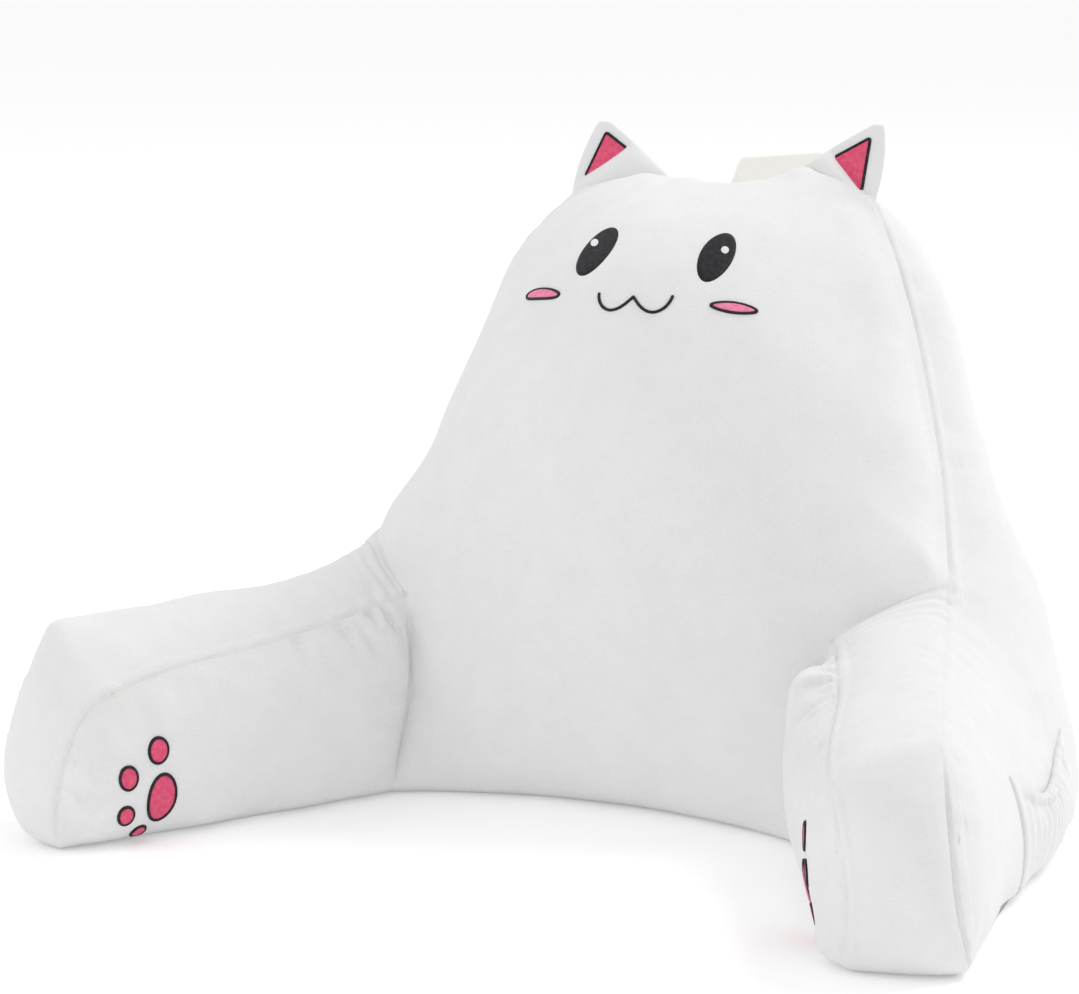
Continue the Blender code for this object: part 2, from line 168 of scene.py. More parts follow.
def roundPatch(low, high, side, row, even, spine, arc, spread):
    # each row is an arc from the middle line to the sides; what the seam strays from the even line dies out
    # with the fifth power of the share across. row is the rows' own share, spread that of the columns
    fine = through(spine, readings)
    along = (row + share(side)) / 2
    middle = np.stack([np.interp(along, share(fine), fine[:, k]) for k in range(3)], axis=1)
    turn = (arc[0] + (arc[1] - arc[0]) * along**2)[None]
    angle = (2 * spread - 1)[:, None] * turn
    across = np.sin(angle) / np.sin(turn)
    back = (1 - np.cos(angle)) / (1 - np.cos(turn))
    edge = even[None] + (np.abs(across)**5)[:, :, None] * (side - even)[None]
    body = np.stack((across * edge[:, :, 0],
                     (1 - back) * middle[None, :, 1] + back * edge[:, :, 1],
                     (1 - back) * middle[None, :, 2] + back * edge[:, :, 2]), axis=2)
    v = share(middle)[None, :, None]
    return body + (1 - v) * (low - body[:, 0])[:, None] + v * (high - body[:, -1])[:, None]


def normals(grid, facing, passes=4):
    # unit normals of a grid, turned towards facing and evened out with their neighbours
    n = np.cross(np.gradient(grid, axis=0), np.gradient(grid, axis=1))
    n *= np.sign((n * facing).sum(axis=2).mean())
    n /= np.maximum(np.linalg.norm(n, axis=2, keepdims=True), 1e-9)
    for _ in range(passes):
        p = np.pad(n, ((1, 1), (1, 1), (0, 0)), mode="edge")
        n = (p[:-2, 1:-1] + p[2:, 1:-1] + p[1:-1, :-2] + p[1:-1, 2:] + 4 * n) / 8
    return n / np.linalg.norm(n, axis=2, keepdims=True)


def awayFrom(grid, seam):
    # distance from each point of a grid to a seam, and how far along the seam that is
    g = grid.reshape(-1, 3)
    square = (g**2).sum(axis=1)[:, None] + (seam**2).sum(axis=1)[None] - 2 * g @ seam.T
    index = square.argmin(axis=1)
    run = lengths(seam)
    least = np.sqrt(np.maximum(square[np.arange(len(g)), index], 0))
    return least.reshape(grid.shape[:2]), run[index].reshape(grid.shape[:2])


def softNoise(points, size, seed, waves=9):
    # a sum of sine waves of about that length in random directions, mostly from -1 to 1
    draw = np.random.default_rng(seed)
    ways = draw.normal(size=(waves, 3))
    ways *= (2 * math.pi / (size * draw.uniform(0.7, 1.4, waves)) / np.linalg.norm(ways, axis=1))[:, None]
    return np.sin(points @ ways.T + draw.uniform(0, 2 * math.pi, waves)).sum(axis=-1) / math.sqrt(waves * 2)


def quadsOf(numbers):
    # the corners of each face of a grid, from the numbers of its points
    corners = numbers[:-1, :-1], numbers[1:, :-1], numbers[1:, 1:], numbers[:-1, 1:]
    return np.stack(corners, axis=-1).reshape(-1, 4)


def numbered(grids, index):
    # the numbers in index dealt out to the points of one grid after the other
    ends = np.cumsum([0] + [grid.shape[0] * grid.shape[1] for grid in grids])
    return [index[a:b].reshape(grid.shape[:2]) for grid, a, b in zip(grids, ends, ends[1:])]


def weldedGrids(grids, near=2e-6):
    # the points of several grids made one where they meet; returns them, the place of each among all the
    # grids' points, each grid's numbers and the faces
    points = np.concatenate([grid.reshape(-1, 3) for grid in grids])
    _, first, index = np.unique(np.round(points / near).astype(np.int64), axis=0, return_index=True,
                                return_inverse=True)
    numbers = numbered(grids, index.reshape(-1))
    return points[first], first, numbers, np.concatenate([quadsOf(one) for one in numbers])


def relaxed(points, faces, weight, passes, out=None):
    # each point drawn towards the mean of its neighbours by its weight, pass after pass; with out, only
    # where that carries it outwards, so that hollows fill up and ridges stay
    a = faces.reshape(-1)
    b = np.roll(faces, -1, axis=1).reshape(-1)
    used = np.flatnonzero(weight > 0.004)           # the others would hardly move
    place = np.full(len(points), -1)
    place[used] = np.arange(len(used))
    ends, others = np.r_[a, b], np.r_[b, a]
    ends, others = ends[place[ends] >= 0], others[place[ends] >= 0]
    ends = place[ends]
    degree = np.maximum(np.bincount(ends, minlength=len(used)), 1)
    points = points.copy()
    for _ in range(passes):
        mean = np.stack([np.bincount(ends, points[others, k], len(used)) for k in range(3)], axis=1)
        step = mean / degree[:, None] - points[used]
        pull = weight[used]
        if out is not None:
            pull = pull * ((step * out[used]).sum(axis=1) > 0)
        points[used] += pull[:, None] * step
    return points


def tinted(mesh, values):
    # how much of the seams' cream each point of the plush takes
    mesh.attributes.new("seamTint", "FLOAT", "POINT").data.foreach_set("value", values.astype(np.float32))


def closed(mesh, near=0.0):
    # points nearer than near made one, open rims filled and the faces turned outwards
    bm = bmesh.new()
    bm.from_mesh(mesh)
    if near:
        bmesh.ops.remove_doubles(bm, verts=bm.verts, dist=near)
        bmesh.ops.dissolve_degenerate(bm, edges=bm.edges, dist=near / 100)
    rim = [edge for edge in bm.edges if edge.is_boundary]
    if rim:
        bmesh.ops.holes_fill(bm, edges=rim, sides=0)
    bmesh.ops.recalc_face_normals(bm, faces=bm.faces)
    bm.to_mesh(mesh)
    bm.free()


def finished(mesh, finishes):
    # the mesh as a piece on the pillow, with its materials
    mesh.shade_smooth()
    for finish in finishes:
        mesh.materials.append(finish)
    piece = bpy.data.objects.new(mesh.name, mesh)
    bpy.context.collection.objects.link(piece)
    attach(piece, "root")
    return piece


def meshPiece(name, grids, uvs, finishes):
    # one mesh from several grids of points: grids is a list of (grid, material number), and uvs holds two
    # numbers for each point, or is None for plush, which needs none
    shapes = [grid for grid, _ in grids]
    points = np.concatenate([grid.reshape(-1, 3) for grid in shapes])
    faces = [quadsOf(one) for one in numbered(shapes, np.arange(len(points)))]
    mesh = bpy.data.meshes.new(name)
    mesh.from_pydata(points, [], np.concatenate(faces))
    marks = [np.full(len(quads), number, np.int32) for quads, (_, number) in zip(faces, grids)]
    mesh.polygons.foreach_set("material_index", np.concatenate(marks))
    if uvs:
        flat = np.concatenate([uv.reshape(-1, 2) for uv in uvs])
        corner = np.empty(len(mesh.loops), np.int32)
        mesh.loops.foreach_get("vertex_index", corner)
        mesh.uv_layers.new(name="cloth").data.foreach_set("uv", flat[corner].astype(np.float32).ravel())
    else:
        tinted(mesh, np.zeros(len(points)))
    closed(mesh, 1e-5)
    return finished(mesh, finishes)


# finishes: the darker and the lighter tone of each, and the plush beside a cream seam
tones = {
    "plush": ((0.748, 0.748, 0.757), (0.772, 0.772, 0.775)), "seam": (0.74, 0.69, 0.62),
    # the strap's darker tone is painted shade for the hollows between its ribs
    "strap": ((0.96, 0.935, 0.885), (0.985, 0.965, 0.925)),
    "black": ((0.010, 0.009, 0.011), (0.028, 0.025, 0.030)),
    "pink": ((0.74, 0.075, 0.165), (0.84, 0.12, 0.23)),
    "palePink": ((0.88, 0.20, 0.36), (0.95, 0.30, 0.47)),
    "white": ((0.80, 0.80, 0.80), (0.90, 0.90, 0.90)),
}


def newFinish(name, roughness, sheen=0.0, sheenRoughness=0.5):
    finish = bpy.data.materials.new(name)
    finish.use_nodes = True
    shader = finish.node_tree.nodes["Principled BSDF"]
    shader.inputs["Roughness"].default_value = roughness
    shader.inputs["Sheen Weight"].default_value = sheen
    shader.inputs["Sheen Roughness"].default_value = sheenRoughness
    return finish, finish.node_tree, shader


def node(tree, kind, values=None, links=None, **settings):
    # a shader node with its settings, its input values and its input links
    made = tree.nodes.new(kind)
    for key, value in settings.items():
        setattr(made, key, value)
    for key, value in (values or {}).items():
        made.inputs[key].default_value = value
    for key, source in (links or {}).items():
        tree.links.new(source, made.inputs[key])
    return made


def newGroup(name, inputs, outputs):
    # an effect that several finishes share, with its named inputs and outputs
    group = bpy.data.node_groups.new(name, "ShaderNodeTree")
    for label, kind, value in inputs:
        socket = group.interface.new_socket(label, in_out="INPUT", socket_type=kind)
        if value is not None:
            socket.default_value = value
    for label, kind in outputs:
        group.interface.new_socket(label, in_out="OUTPUT", socket_type=kind)
    return group, group.nodes.new("NodeGroupInput"), group.nodes.new("NodeGroupOutput")


def blend(tree, dark, light, mask):
    # a tone between the two of a finish; inputs 6 and 7 of a colour mix are its colours
    colour = node(tree, "ShaderNodeMix", {6: (*dark, 1), 7: (*light, 1)}, {0: mask}, data_type="RGBA")
    return colour.outputs[2]


def stretched(tree, low, high, value):
    # the middle of a noise's range drawn out to all of it
    spread = node(tree, "ShaderNodeMapRange", {"From Min": low, "From Max": high}, {"Value": value})
    return spread.outputs[0]


def raised(tree, shader, height, strength, deep):
    # relief too fine for the mesh
    bump = node(tree, "ShaderNodeBump", {"Strength": strength, "Distance": deep}, {"Height": height})
    tree.links.new(bump.outputs[0], shader.inputs["Normal"])


def pileGroup():
    # short pile: fine noise for the tufts, noise drawn out sideways for the brushed streaks, wide noise for
    # the tone
    group, take, give = newGroup("pile", [
        ("Vector", "NodeSocketVector", None), ("Tuft", "NodeSocketFloat", 900.0),
        ("Streak", "NodeSocketFloat", 0.5), ("Mottle", "NodeSocketFloat", 45.0)],
        [("Height", "NodeSocketFloat"), ("Tone", "NodeSocketFloat")])
    tuft = node(group, "ShaderNodeTexNoise", {"Detail": 2.0, "Roughness": 0.6},
                {"Vector": take.outputs["Vector"], "Scale": take.outputs["Tuft"]})
    long = node(group, "ShaderNodeVectorMath", {1: (60.0, 60.0, 420.0)}, {0: take.outputs["Vector"]},
                operation="MULTIPLY")
    streak = node(group, "ShaderNodeTexNoise", {"Scale": 1.0, "Detail": 3.0}, {"Vector": long.outputs[0]})
    wide = node(group, "ShaderNodeTexNoise", {"Detail": 3.0, "Roughness": 0.55, "Distortion": 0.4},
                {"Vector": take.outputs["Vector"], "Scale": take.outputs["Mottle"]})
    part = node(group, "ShaderNodeMath", {}, {0: streak.outputs[0], 1: take.outputs["Streak"]},
                operation="MULTIPLY")
    height = node(group, "ShaderNodeMath", {}, {0: tuft.outputs[0], 1: part.outputs[0]}, operation="ADD")
    group.links.new(height.outputs[0], give.inputs["Height"])
    group.links.new(wide.outputs[0], give.inputs["Tone"])
    return group


pile = pileGroup()


def plushFinish():
    finish, tree, shader = newFinish("whitePlush", 0.95, 0.15, 0.45)
    place = node(tree, "ShaderNodeTexCoord")
    nap = node(tree, "ShaderNodeGroup", {}, {"Vector": place.outputs["Object"]}, node_tree=pile)
    cloth = blend(tree, *tones["plush"], stretched(tree, 0.32, 0.68, nap.outputs["Tone"]))
    seam = node(tree, "ShaderNodeAttribute", attribute_name="seamTint")
    tint = node(tree, "ShaderNodeMix", {7: (*tones["seam"], 1)}, {0: seam.outputs["Fac"], 6: cloth},
                data_type="RGBA")
    tree.links.new(tint.outputs[2], shader.inputs["Base Color"])
    raised(tree, shader, nap.outputs["Height"], 0.35, 0.0012)
    return finish


def threadGroup():
    # satin stitches: fine waves across the stitch direction, broken by noise
    group, take, give = newGroup("thread", [
        ("Vector", "NodeSocketVector", None), ("Threads", "NodeSocketFloat", 900.0)],
        [("Height", "NodeSocketFloat"), ("Tone", "NodeSocketFloat")])
    line = node(group, "ShaderNodeTexWave", {"Distortion": 1.5, "Detail": 1.0, "Detail Scale": 2.0},
                {"Vector": take.outputs["Vector"], "Scale": take.outputs["Threads"]}, bands_direction="Y")
    spots = node(group, "ShaderNodeTexNoise", {"Scale": 260.0, "Detail": 2.0},
                 {"Vector": take.outputs["Vector"]})
    group.links.new(line.outputs["Fac"], give.inputs["Height"])
    group.links.new(spots.outputs[0], give.inputs["Tone"])
    return group


thread = threadGroup()


def threadFinish(name, tone, roughness):
    finish, tree, shader = newFinish(name, roughness)
    shader.inputs["Specular IOR Level"].default_value = 0.25
    place = node(tree, "ShaderNodeUVMap", uv_map="cloth")
    lay = node(tree, "ShaderNodeGroup", {}, {"Vector": place.outputs["UV"]}, node_tree=thread)
    colour = blend(tree, *tones[tone], stretched(tree, 0.35, 0.65, lay.outputs["Tone"]))
    tree.links.new(colour, shader.inputs["Base Color"])
    raised(tree, shader, lay.outputs["Height"], 0.5, 0.0003)
    return finish


def tapeFinish():
    # the stitches' waves at tape scale stand for its ribs; the colour follows the same waves, so the tape is
    # painted darker in the hollows between the ribs, as painted shade
    finish, tree, shader = newFinish("creamStrap", 0.7, 0.15, 0.4)
    place = node(tree, "ShaderNodeUVMap", uv_map="cloth")
    lay = node(tree, "ShaderNodeGroup", {"Threads": 420.0}, {"Vector": place.outputs["UV"]}, node_tree=thread)
    # painted shade: the rib height picks the tone, darker in the hollows, lighter on the crests
    tree.links.new(blend(tree, *tones["strap"], lay.outputs["Height"]), shader.inputs["Base Color"])
    raised(tree, shader, lay.outputs["Height"], 0.5, 0.0004)
    return finish


def floorFinish():
    finish, _, shader = newFinish("paleFloor", 0.9)
    shader.inputs["Base Color"].default_value = (*[studio["floorTone"]] * 3, 1)
    shader.inputs["Emission Color"].default_value = (1, 1, 1, 1)
    shader.inputs["Emission Strength"].default_value = studio["floorGlow"]
    return finish


whitePlush = plushFinish()
blackThread = threadFinish("blackThread", "black", 0.65)
pinkThread = threadFinish("pinkThread", "pink", 0.55)
palePinkThread = threadFinish("palePinkThread", "palePink", 0.55)
whiteThread = threadFinish("whiteThread", "white", 0.5)
creamStrap = tapeFinish()
floor.data.materials.append(floorFinish())
print("finishes made")


# the cover: panels stretched between their seams and puffed out by the filling
baseSeam = 0.006
cover = {
    "baseInset": 0.011, "fan": 0.009,   # from the base seam in to the flat, and the reach of a turn at a corner
    # corners where seams meet, on the right side
    "earCorner": (0.115, 0.119, 0.414), "rearCorner": (0.092, 0.186, 0.380),
    "elbowOut": (0.221, -0.006, 0.168), "elbowIn": (0.163, -0.062, 0.140), "waistRear": (0.218, 0.128, 0.168),
    "handOut": (0.319, -0.265, 0.136), "handIn": (0.257, -0.290, 0.106), "toeOut": (0.344, -0.290, baseSeam),
    "toeIn": (0.284, -0.315, baseSeam), "lapCorner": (0.158, -0.092, baseSeam),
    "heel": (0.270, 0.095, baseSeam), "baseKnee": (0.305, 0.005, baseSeam),
    # seams: the corner each starts from, the points it passes, the corner it ends at, its mesh steps
    "lines": {
        "crease": ("lapCorner", (), "elbowIn", "armHigh"),
        "cross": ("elbowIn", ((0.196, -0.040, 0.160),), "elbowOut", "strip"),
        "side": ("elbowOut", ((0.209, 0.019, 0.187), (0.197, 0.044, 0.224), (0.168, 0.077, 0.301),
                              (0.147, 0.094, 0.361), (0.126, 0.110, 0.398)), "earCorner", "backHigh"),
        "topIn": ("elbowIn", ((0.181, -0.091, 0.131), (0.213, -0.167, 0.118), (0.245, -0.262, 0.113)),
                  "handIn", "armLong"),
        "frontIn": ("handIn", ((0.268, -0.306, 0.096), (0.277, -0.314, 0.070)), "toeIn", "armHigh"),
        "topOut": ("elbowOut", ((0.231, -0.033, 0.153), (0.248, -0.078, 0.144), (0.290, -0.190, 0.142)),
                   "handOut", "armLong"),
        "frontOut": ("handOut", ((0.330, -0.286, 0.105), (0.340, -0.297, 0.060)), "toeOut", "armHigh"),
        "toe": ("toeIn", ((0.313, -0.310, baseSeam),), "toeOut", "strip"),
        "lap": ("lapCorner", ((0.217, -0.206, baseSeam),), "toeIn", "armLong"),
        "baseSide": ("toeOut", ((0.336, -0.200, baseSeam), (0.317, -0.070, baseSeam)), "baseKnee", "armLong"),
        "baseHeel": ("baseKnee", ((0.292, 0.055, baseSeam),), "heel", "strip"),
        "rearLow": ("heel", ((0.254, 0.113, 0.080),), "waistRear", "armHigh"),
        "rearUp": ("waistRear", ((0.178, 0.148, 0.250), (0.134, 0.170, 0.340)), "rearCorner", "backHigh"),
        "shoulder": ("earCorner", ((0.112, 0.153, 0.403),), "rearCorner", "strip"),
        "waist": ("elbowOut", ((0.226, 0.062, 0.168),), "waistRear", "strip")},
    # seams that cross the middle: the points of the right half, the corner each ends at
    "crossLines": {
        "frontBase": (((0.0, -0.050, baseSeam), (0.080, -0.060, baseSeam)), "lapCorner"),
        "frontTop": (((0.0, 0.128, 0.418), (0.053, 0.129, 0.424), (0.090, 0.125, 0.4205)), "earCorner"),
        "rearBase": (((0.0, 0.122, baseSeam), (0.150, 0.116, baseSeam)), "heel"),
        "rearTop": (((0.0, 0.197, 0.382), (0.050, 0.195, 0.382)), "rearCorner")},
    # middle lines of the front and the rear panel, and the side of the front one without its step at the elbow
    "frontSpine": ((0, -0.050, baseSeam), (0, -0.068, 0.090), (0, -0.076, 0.190), (0, -0.062, 0.290),
                   (0, -0.030, 0.355), (0, 0.018, 0.391), (0, 0.075, 0.410), (0, 0.128, 0.418)),
    "rearSpine": ((0, 0.122, baseSeam), (0, 0.158, 0.090), (0, 0.182, 0.210), (0, 0.200, 0.315),
                  (0, 0.197, 0.382)),
    "frontEven": ((0.158, -0.088, baseSeam), (0.184, -0.058, 0.100), (0.201, -0.018, 0.170),
                  (0.194, 0.045, 0.235), (0.168, 0.077, 0.301), (0.147, 0.094, 0.361), (0.115, 0.119, 0.414)),
    # turn of a row from the middle to the side, at the base and at the top
    "frontArc": (math.radians(48), math.radians(86)), "rearArc": (math.radians(60), math.radians(60)),
    # rise beside a seam, width of that rise, further rise towards the middle
    "front": (0.010, 0.035, 0.000), "inner": (0.018, 0.045, 0.019), "boxing": (0.008, 0.030, 0.004),
    "side": (0.013, 0.040, 0.016), "top": (0.003, 0.030, 0.000), "rear": (0.007, 0.040, 0.000),
    "sideWay": (0.94, 0.24, 0.24),      # the way in which the side panels are puffed
    # mesh steps, how much they crowd towards the seams, and the steps that the rows were laid out with
    "across": 180, "armLong": 160, "armHigh": 60, "backHigh": 100, "strip": 36, "crowd": 0.60,
    "plain": {"armHigh": 8, "strip": 5, "backHigh": 12},
    "wayPasses": 12,                    # how far the way out of a panel is evened out
    # gathers beside a seam: height, how far in they are highest, their wave length
    "gather": {"front": (0.0006, 0.012, 0.022), "inner": (0.0016, 0.012, 0.020),
               "boxing": (0.0007, 0.009, 0.018), "side": (0.0012, 0.014, 0.022),
               "top": (0.0006, 0.010, 0.020), "rear": (0.0008, 0.014, 0.024)},
    "uneven": (0.0016, 0.090, 0.04),    # rise and fall of the filling, its size, where it starts off a seam
    "wavyFoot": (0.0028, 0.075, 0.035), # the lower edge swings out and in: how far, its wave, how high up
    "pressed": (0.0009, 0.0085, 0.020), # folds below the cross seam: height, wave, how far they run
    # how the filling evens out the cover: share of each pass and passes, all over, in hollows and at soft
    # corners, the passes at the end, and the greater share near the floor with its height
    "even": {"all": (0.45, 12), "hollows": (0.8, 140), "corners": (0.8, 60), "last": 4, "foot": (0.9, 0.012)},
    # seams that show: cream tint, depth of the groove, how far the filling evens out their hollow (a negative
    # one keeps the fold between two panels open), the panels with the band of turnings, and how high it is
    "seams": {"topIn": (0.22, 0.0006, 0.9, ("boxing",), 0.0008),
              "frontIn": (0.22, 0.0006, 0.9, ("boxing",), 0.0009),
              "topOut": (0.05, 0.0002, 1.0, ("sideLow",), 0.0003),
              "frontOut": (0.20, 0.0012, 1.0, ("sideLow",), 0.0013),
              "side": (0.12, 0.0006, 1.0, ("sideUp", "sideLow"), 0.0007),
              "shoulder": (0.08, 0.0006, 1.0, ("top",), 0.0005),
              "rearSide": (0.10, 0.0008, 1.0, ("rear",), 0.0006),
              "frontTop": (0.0, 0.0006, 1.0, (), 0.0), "rearTop": (0.0, 0.0007, 1.0, ("rear",), 0.0005),
              "cross": (0.30, 0.0004, 0.8, ("boxing",), 0.0006), "crease": (0.0, 0.0005, -0.4, (), 0.0)},
    "tintWide": 0.0045, "grooveWide": 0.0013, "hollowWide": 0.016,
    # how strongly a seam starts and ends, and the width and unevenness of its band
    "fades": {"plain": (1.0, 1.0), "frontOut": (0.0, 1.0), "cross": (0.4, 1.0), "side": (1.6, 1.0)},
    "bands": {"plain": (0.0085, 0.4), "frontOut": (0.0125, 0.65)},
    # folds that run in from a seam: its share from and to, their height, wave and length
    "ripples": {"front": (("frontTop", 0.14, 0.52, 0.0038, 0.0180, 0.045),
                          ("frontTop", 0.52, 0.86, 0.0006, 0.0170, 0.030),
                          ("crease", 0.30, 1.00, 0.0008, 0.0130, 0.022)),
                "inner": (("topIn", 0.04, 0.44, 0.0021, 0.0085, 0.030),
                          ("frontIn", 0.10, 1.00, 0.0006, 0.0120, 0.014)),
                "boxing": (("topIn", 0.02, 0.30, 0.0008, 0.0100, 0.016),),
                "sideLow": (("frontOut", 0.25, 1.00, 0.0009, 0.0085, 0.012),
                            ("topOut", 0.55, 1.00, 0.0006, 0.0110, 0.014)),
                "sideUp": (("side", 0.00, 0.50, 0.0006, 0.0130, 0.016),)},
    "livelier": {"innerRight": 1.9},    # panels whose folds stand out more
    # what the filling pushes out or lets sink: middle, radius and push
    "bumps": (
        # under the ears and between them
        ((0.060, 0.127, 0.424), 0.018, (0, 0, 0.0100)), ((0.090, 0.125, 0.420), 0.022, (0, 0, 0.0070)),
        ((-0.045, 0.125, 0.424), 0.025, (0, 0, -0.0010)), ((0.0, 0.125, 0.418), 0.030, (0, 0, -0.0015)),
        # top of the left arm
        ((-0.319, -0.267, 0.138), 0.030, (-0.001, -0.005, 0.0100)),
        ((-0.305, -0.225, 0.140), 0.030, (0, 0, 0.0040)),
        # right toe
        ((0.276, -0.295, 0.008), 0.022, (-0.0130, -0.0030, 0)),
        ((0.344, -0.290, 0.006), 0.026, (0.0060, -0.0020, 0)),
        # inner sides of the arms
        ((-0.160, -0.078, 0.078), 0.046, (0.0085, 0, 0)), ((0.220, -0.190, 0.080), 0.050, (-0.0050, -0.001, 0)),
        ((0.165, -0.115, 0.118), 0.022, (-0.006, -0.002, 0.010)),
        # left edge of the head, waist and arm
        ((-0.158, 0.085, 0.365), 0.055, (-0.0095, 0.002, 0.003)),
        ((-0.207, 0.022, 0.200), 0.050, (0.0100, 0.003, 0)), ((-0.275, -0.150, 0.143), 0.040, (0, 0, 0.0035)),
        # right side and foot
        ((0.240, 0.095, 0.160), 0.045, (0.0065, 0.003, 0)), ((0.338, -0.160, 0.014), 0.075, (-0.0085, 0, 0)),
        # left toe
        ((-0.346, -0.295, 0.004), 0.032, (0.0100, 0.004, 0)), ((-0.270, -0.300, 0.006), 0.050, (0, -0.006, 0)),
        ((-0.333, -0.268, 0.118), 0.011, (0.0060, 0.003, 0))),
    # corners that the filling rounds off: place and radius, as on the right side
    "soft": (((0.319, -0.265, 0.136), 0.026), ((0.221, -0.006, 0.168), 0.016)),
    # what bulges on the inner side of each arm: middle, radius and push
    "swells": {"right": (((0.190, -0.115, 0.122), 0.042, 0.014), ((0.200, -0.150, 0.080), 0.050, 0.008)),
               "left": ()},
}


def seamLines(c):
    # every seam of the right half, those that cross the middle, and the ones that are sewn as one run
    s = {name: through((c[start], *between, c[end]), c[steps], c["crowd"])
         for name, (start, between, end, steps) in c["lines"].items()}
    for name, (half, end) in c["crossLines"].items():
        s[name] = whole((*half, c[end]), c["across"], c["crowd"])
    s["frontSide"] = joined(s["crease"], s["cross"], s["side"])
    s["rearSide"] = joined(s["rearLow"], s["rearUp"])
    s["boxIn"] = joined(s["topIn"], s["frontIn"])
    s["boxOut"] = joined(s["topOut"], s["frontOut"])
    return s


def stepShares(names, c):
    # the share of the plain steps that each fine step stands at, seam after seam
    starts = np.r_[0, np.cumsum([c["plain"][name] for name in names])]
    parts = [(start + c["plain"][name] * pace(c[name], c["crowd"])) / starts[-1]
             for start, name in zip(starts, names)]
    return joined(*[part[:, None] for part in parts])[:, 0]


def puffed(grid, seams, kind, way, seed, swells=()):
    # pushed out along way: nothing on a seam, full a reach away from it, a dome that grows over twice that
    # reach, the swells of one panel, and the soft unevenness of the filling; also returns the gathers, waves
    # along the seam that come in bursts and are highest a little way in from it
    puff, reach, dome = cover[kind]
    high, deep, wave = cover["gather"][kind]
    edge, middle, folds = np.ones(grid.shape[:2]), np.ones(grid.shape[:2]), np.zeros(grid.shape[:2])
    nearest = edge.copy()
    for number, seam in enumerate(seams):
        away, run = awayFrom(grid, seam)
        near = np.clip(away / reach, 0, 1)
        edge *= (1 - (1 - near)**2)**0.8
        middle *= 1 - np.exp(-(away / (2 * reach))**2)
        line = np.stack((run, away * 0.35, 0 * run + number), axis=2)
        burst = 0.55 + 0.45 * softNoise(line, 5 * wave, seed + 20 + number)
        rise = (away / deep * np.exp(1 - away / deep))**2
        folds += high * burst * softNoise(line, wave, seed + number) * rise
        nearest = np.minimum(nearest, away)
    height, size, start = cover["uneven"]
    soft = height * softNoise(grid, size, seed + 50) * np.clip(nearest / start, 0, 1)**2
    for place, radius, push in swells:
        soft += push * edge * np.exp(-((grid - place)**2).sum(axis=2) / radius**2)
    return grid + way * (puff * edge + dome * middle + soft)[:, :, None], folds


def pressedFolds(grid, s, seed):
    # the strip bunches up below the cross seam: bent waves across it that die out along the arm, start a few
    # millimetres below the seam and are lower at its ends
    high, wave, long = cover["pressed"]
    away, run = awayFrom(grid, s["cross"])
    bend = softNoise(np.stack((run, 0.3 * away, 0 * run), axis=2), 0.05, seed) * 1.3
    ends = np.clip(np.minimum(run, run.max() - run) / 0.015, 0, 1)
    folds = high * np.cos(2 * math.pi * away / wave + bend) * np.exp(-(away / long)**2)
    return folds * np.clip(away / 0.006, 0, 1) * (0.35 + 0.65 * ends)


def coverPanels(c, s, seed, side):
    # the panels of the right half and the three that cross the middle, each with its gathers
    spread = pace(c["across"], c["crowd"])
    frontRow = stepShares(("armHigh", "strip", "backHigh"), c)
    rearRow = stepShares(("armHigh", "backHigh"), c)
    line = through(c["frontEven"], readings)
    even = np.stack([np.interp(frontRow, pace(readings), line[:, k]) for k in range(3)], axis=1)
    made = {}

    def add(name, kind, grid, seams, facing, more, swells=()):
        # facing is the side that the way out turns to, and None for the fixed way of the side panels
        way = np.array(c["sideWay"]) if facing is None else normals(grid, facing, c["wayPasses"])
        made[name] = puffed(grid, seams, kind, way, seed + more, swells)

    def both(name):
        return s[name], mirrored(s[name])

    grid = roundPatch(s["frontBase"], s["frontTop"], s["frontSide"], frontRow, even, c["frontSpine"],
                      c["frontArc"], spread)
    add("front", "front", grid, (s["frontBase"], s["frontTop"], *both("frontSide")), (0, -1, 0), 11)
    grid = patch(s["lap"], s["topIn"], s["crease"], s["frontIn"][::-1])
    add("inner", "inner", grid, (s["lap"], s["topIn"], s["crease"], s["frontIn"]), (-1, -0.5, 0), 21,
        c["swells"][side])
    grid = patch(s["boxIn"], s["boxOut"], s["cross"], s["toe"])
    add("boxing", "boxing", grid, (s["boxIn"], s["boxOut"], s["cross"], s["toe"]), (0, -0.5, 1), 31)
    grid, folds = made["boxing"]
    made["boxing"] = grid, folds + pressedFolds(grid, s, seed + 35)
    sideSeams = (s["boxOut"], s["side"], s["baseSide"], s["baseHeel"], s["rearSide"], s["shoulder"])
    grid = patch(joined(s["baseSide"], s["baseHeel"]), joined(s["topOut"][::-1], s["waist"]),
                 s["frontOut"][::-1], s["rearLow"])
    add("sideLow", "side", grid, sideSeams, None, 41)
    grid = patch(s["waist"], s["shoulder"], s["side"], s["rearUp"])
    add("sideUp", "side", grid, sideSeams, None, 41)
    grid = patch(s["frontTop"], s["rearTop"], mirrored(s["shoulder"]), s["shoulder"])
    add("top", "top", grid, (s["frontTop"], s["rearTop"], *both("shoulder")), (0, 0, 1), 61)
    grid = roundPatch(s["rearBase"], s["rearTop"], s["rearSide"], rearRow, s["rearSide"], c["rearSpine"],
                      c["rearArc"], spread)
    add("rear", "rear", grid, (s["rearBase"], s["rearTop"], *both("rearSide")), (0, 1, 0), 71)
    return made


def onSides(seam, sides):
    # a seam of the right half on each of the sides asked for
    return [seam] * ("right" in sides) + [mirrored(seam)] * ("left" in sides)


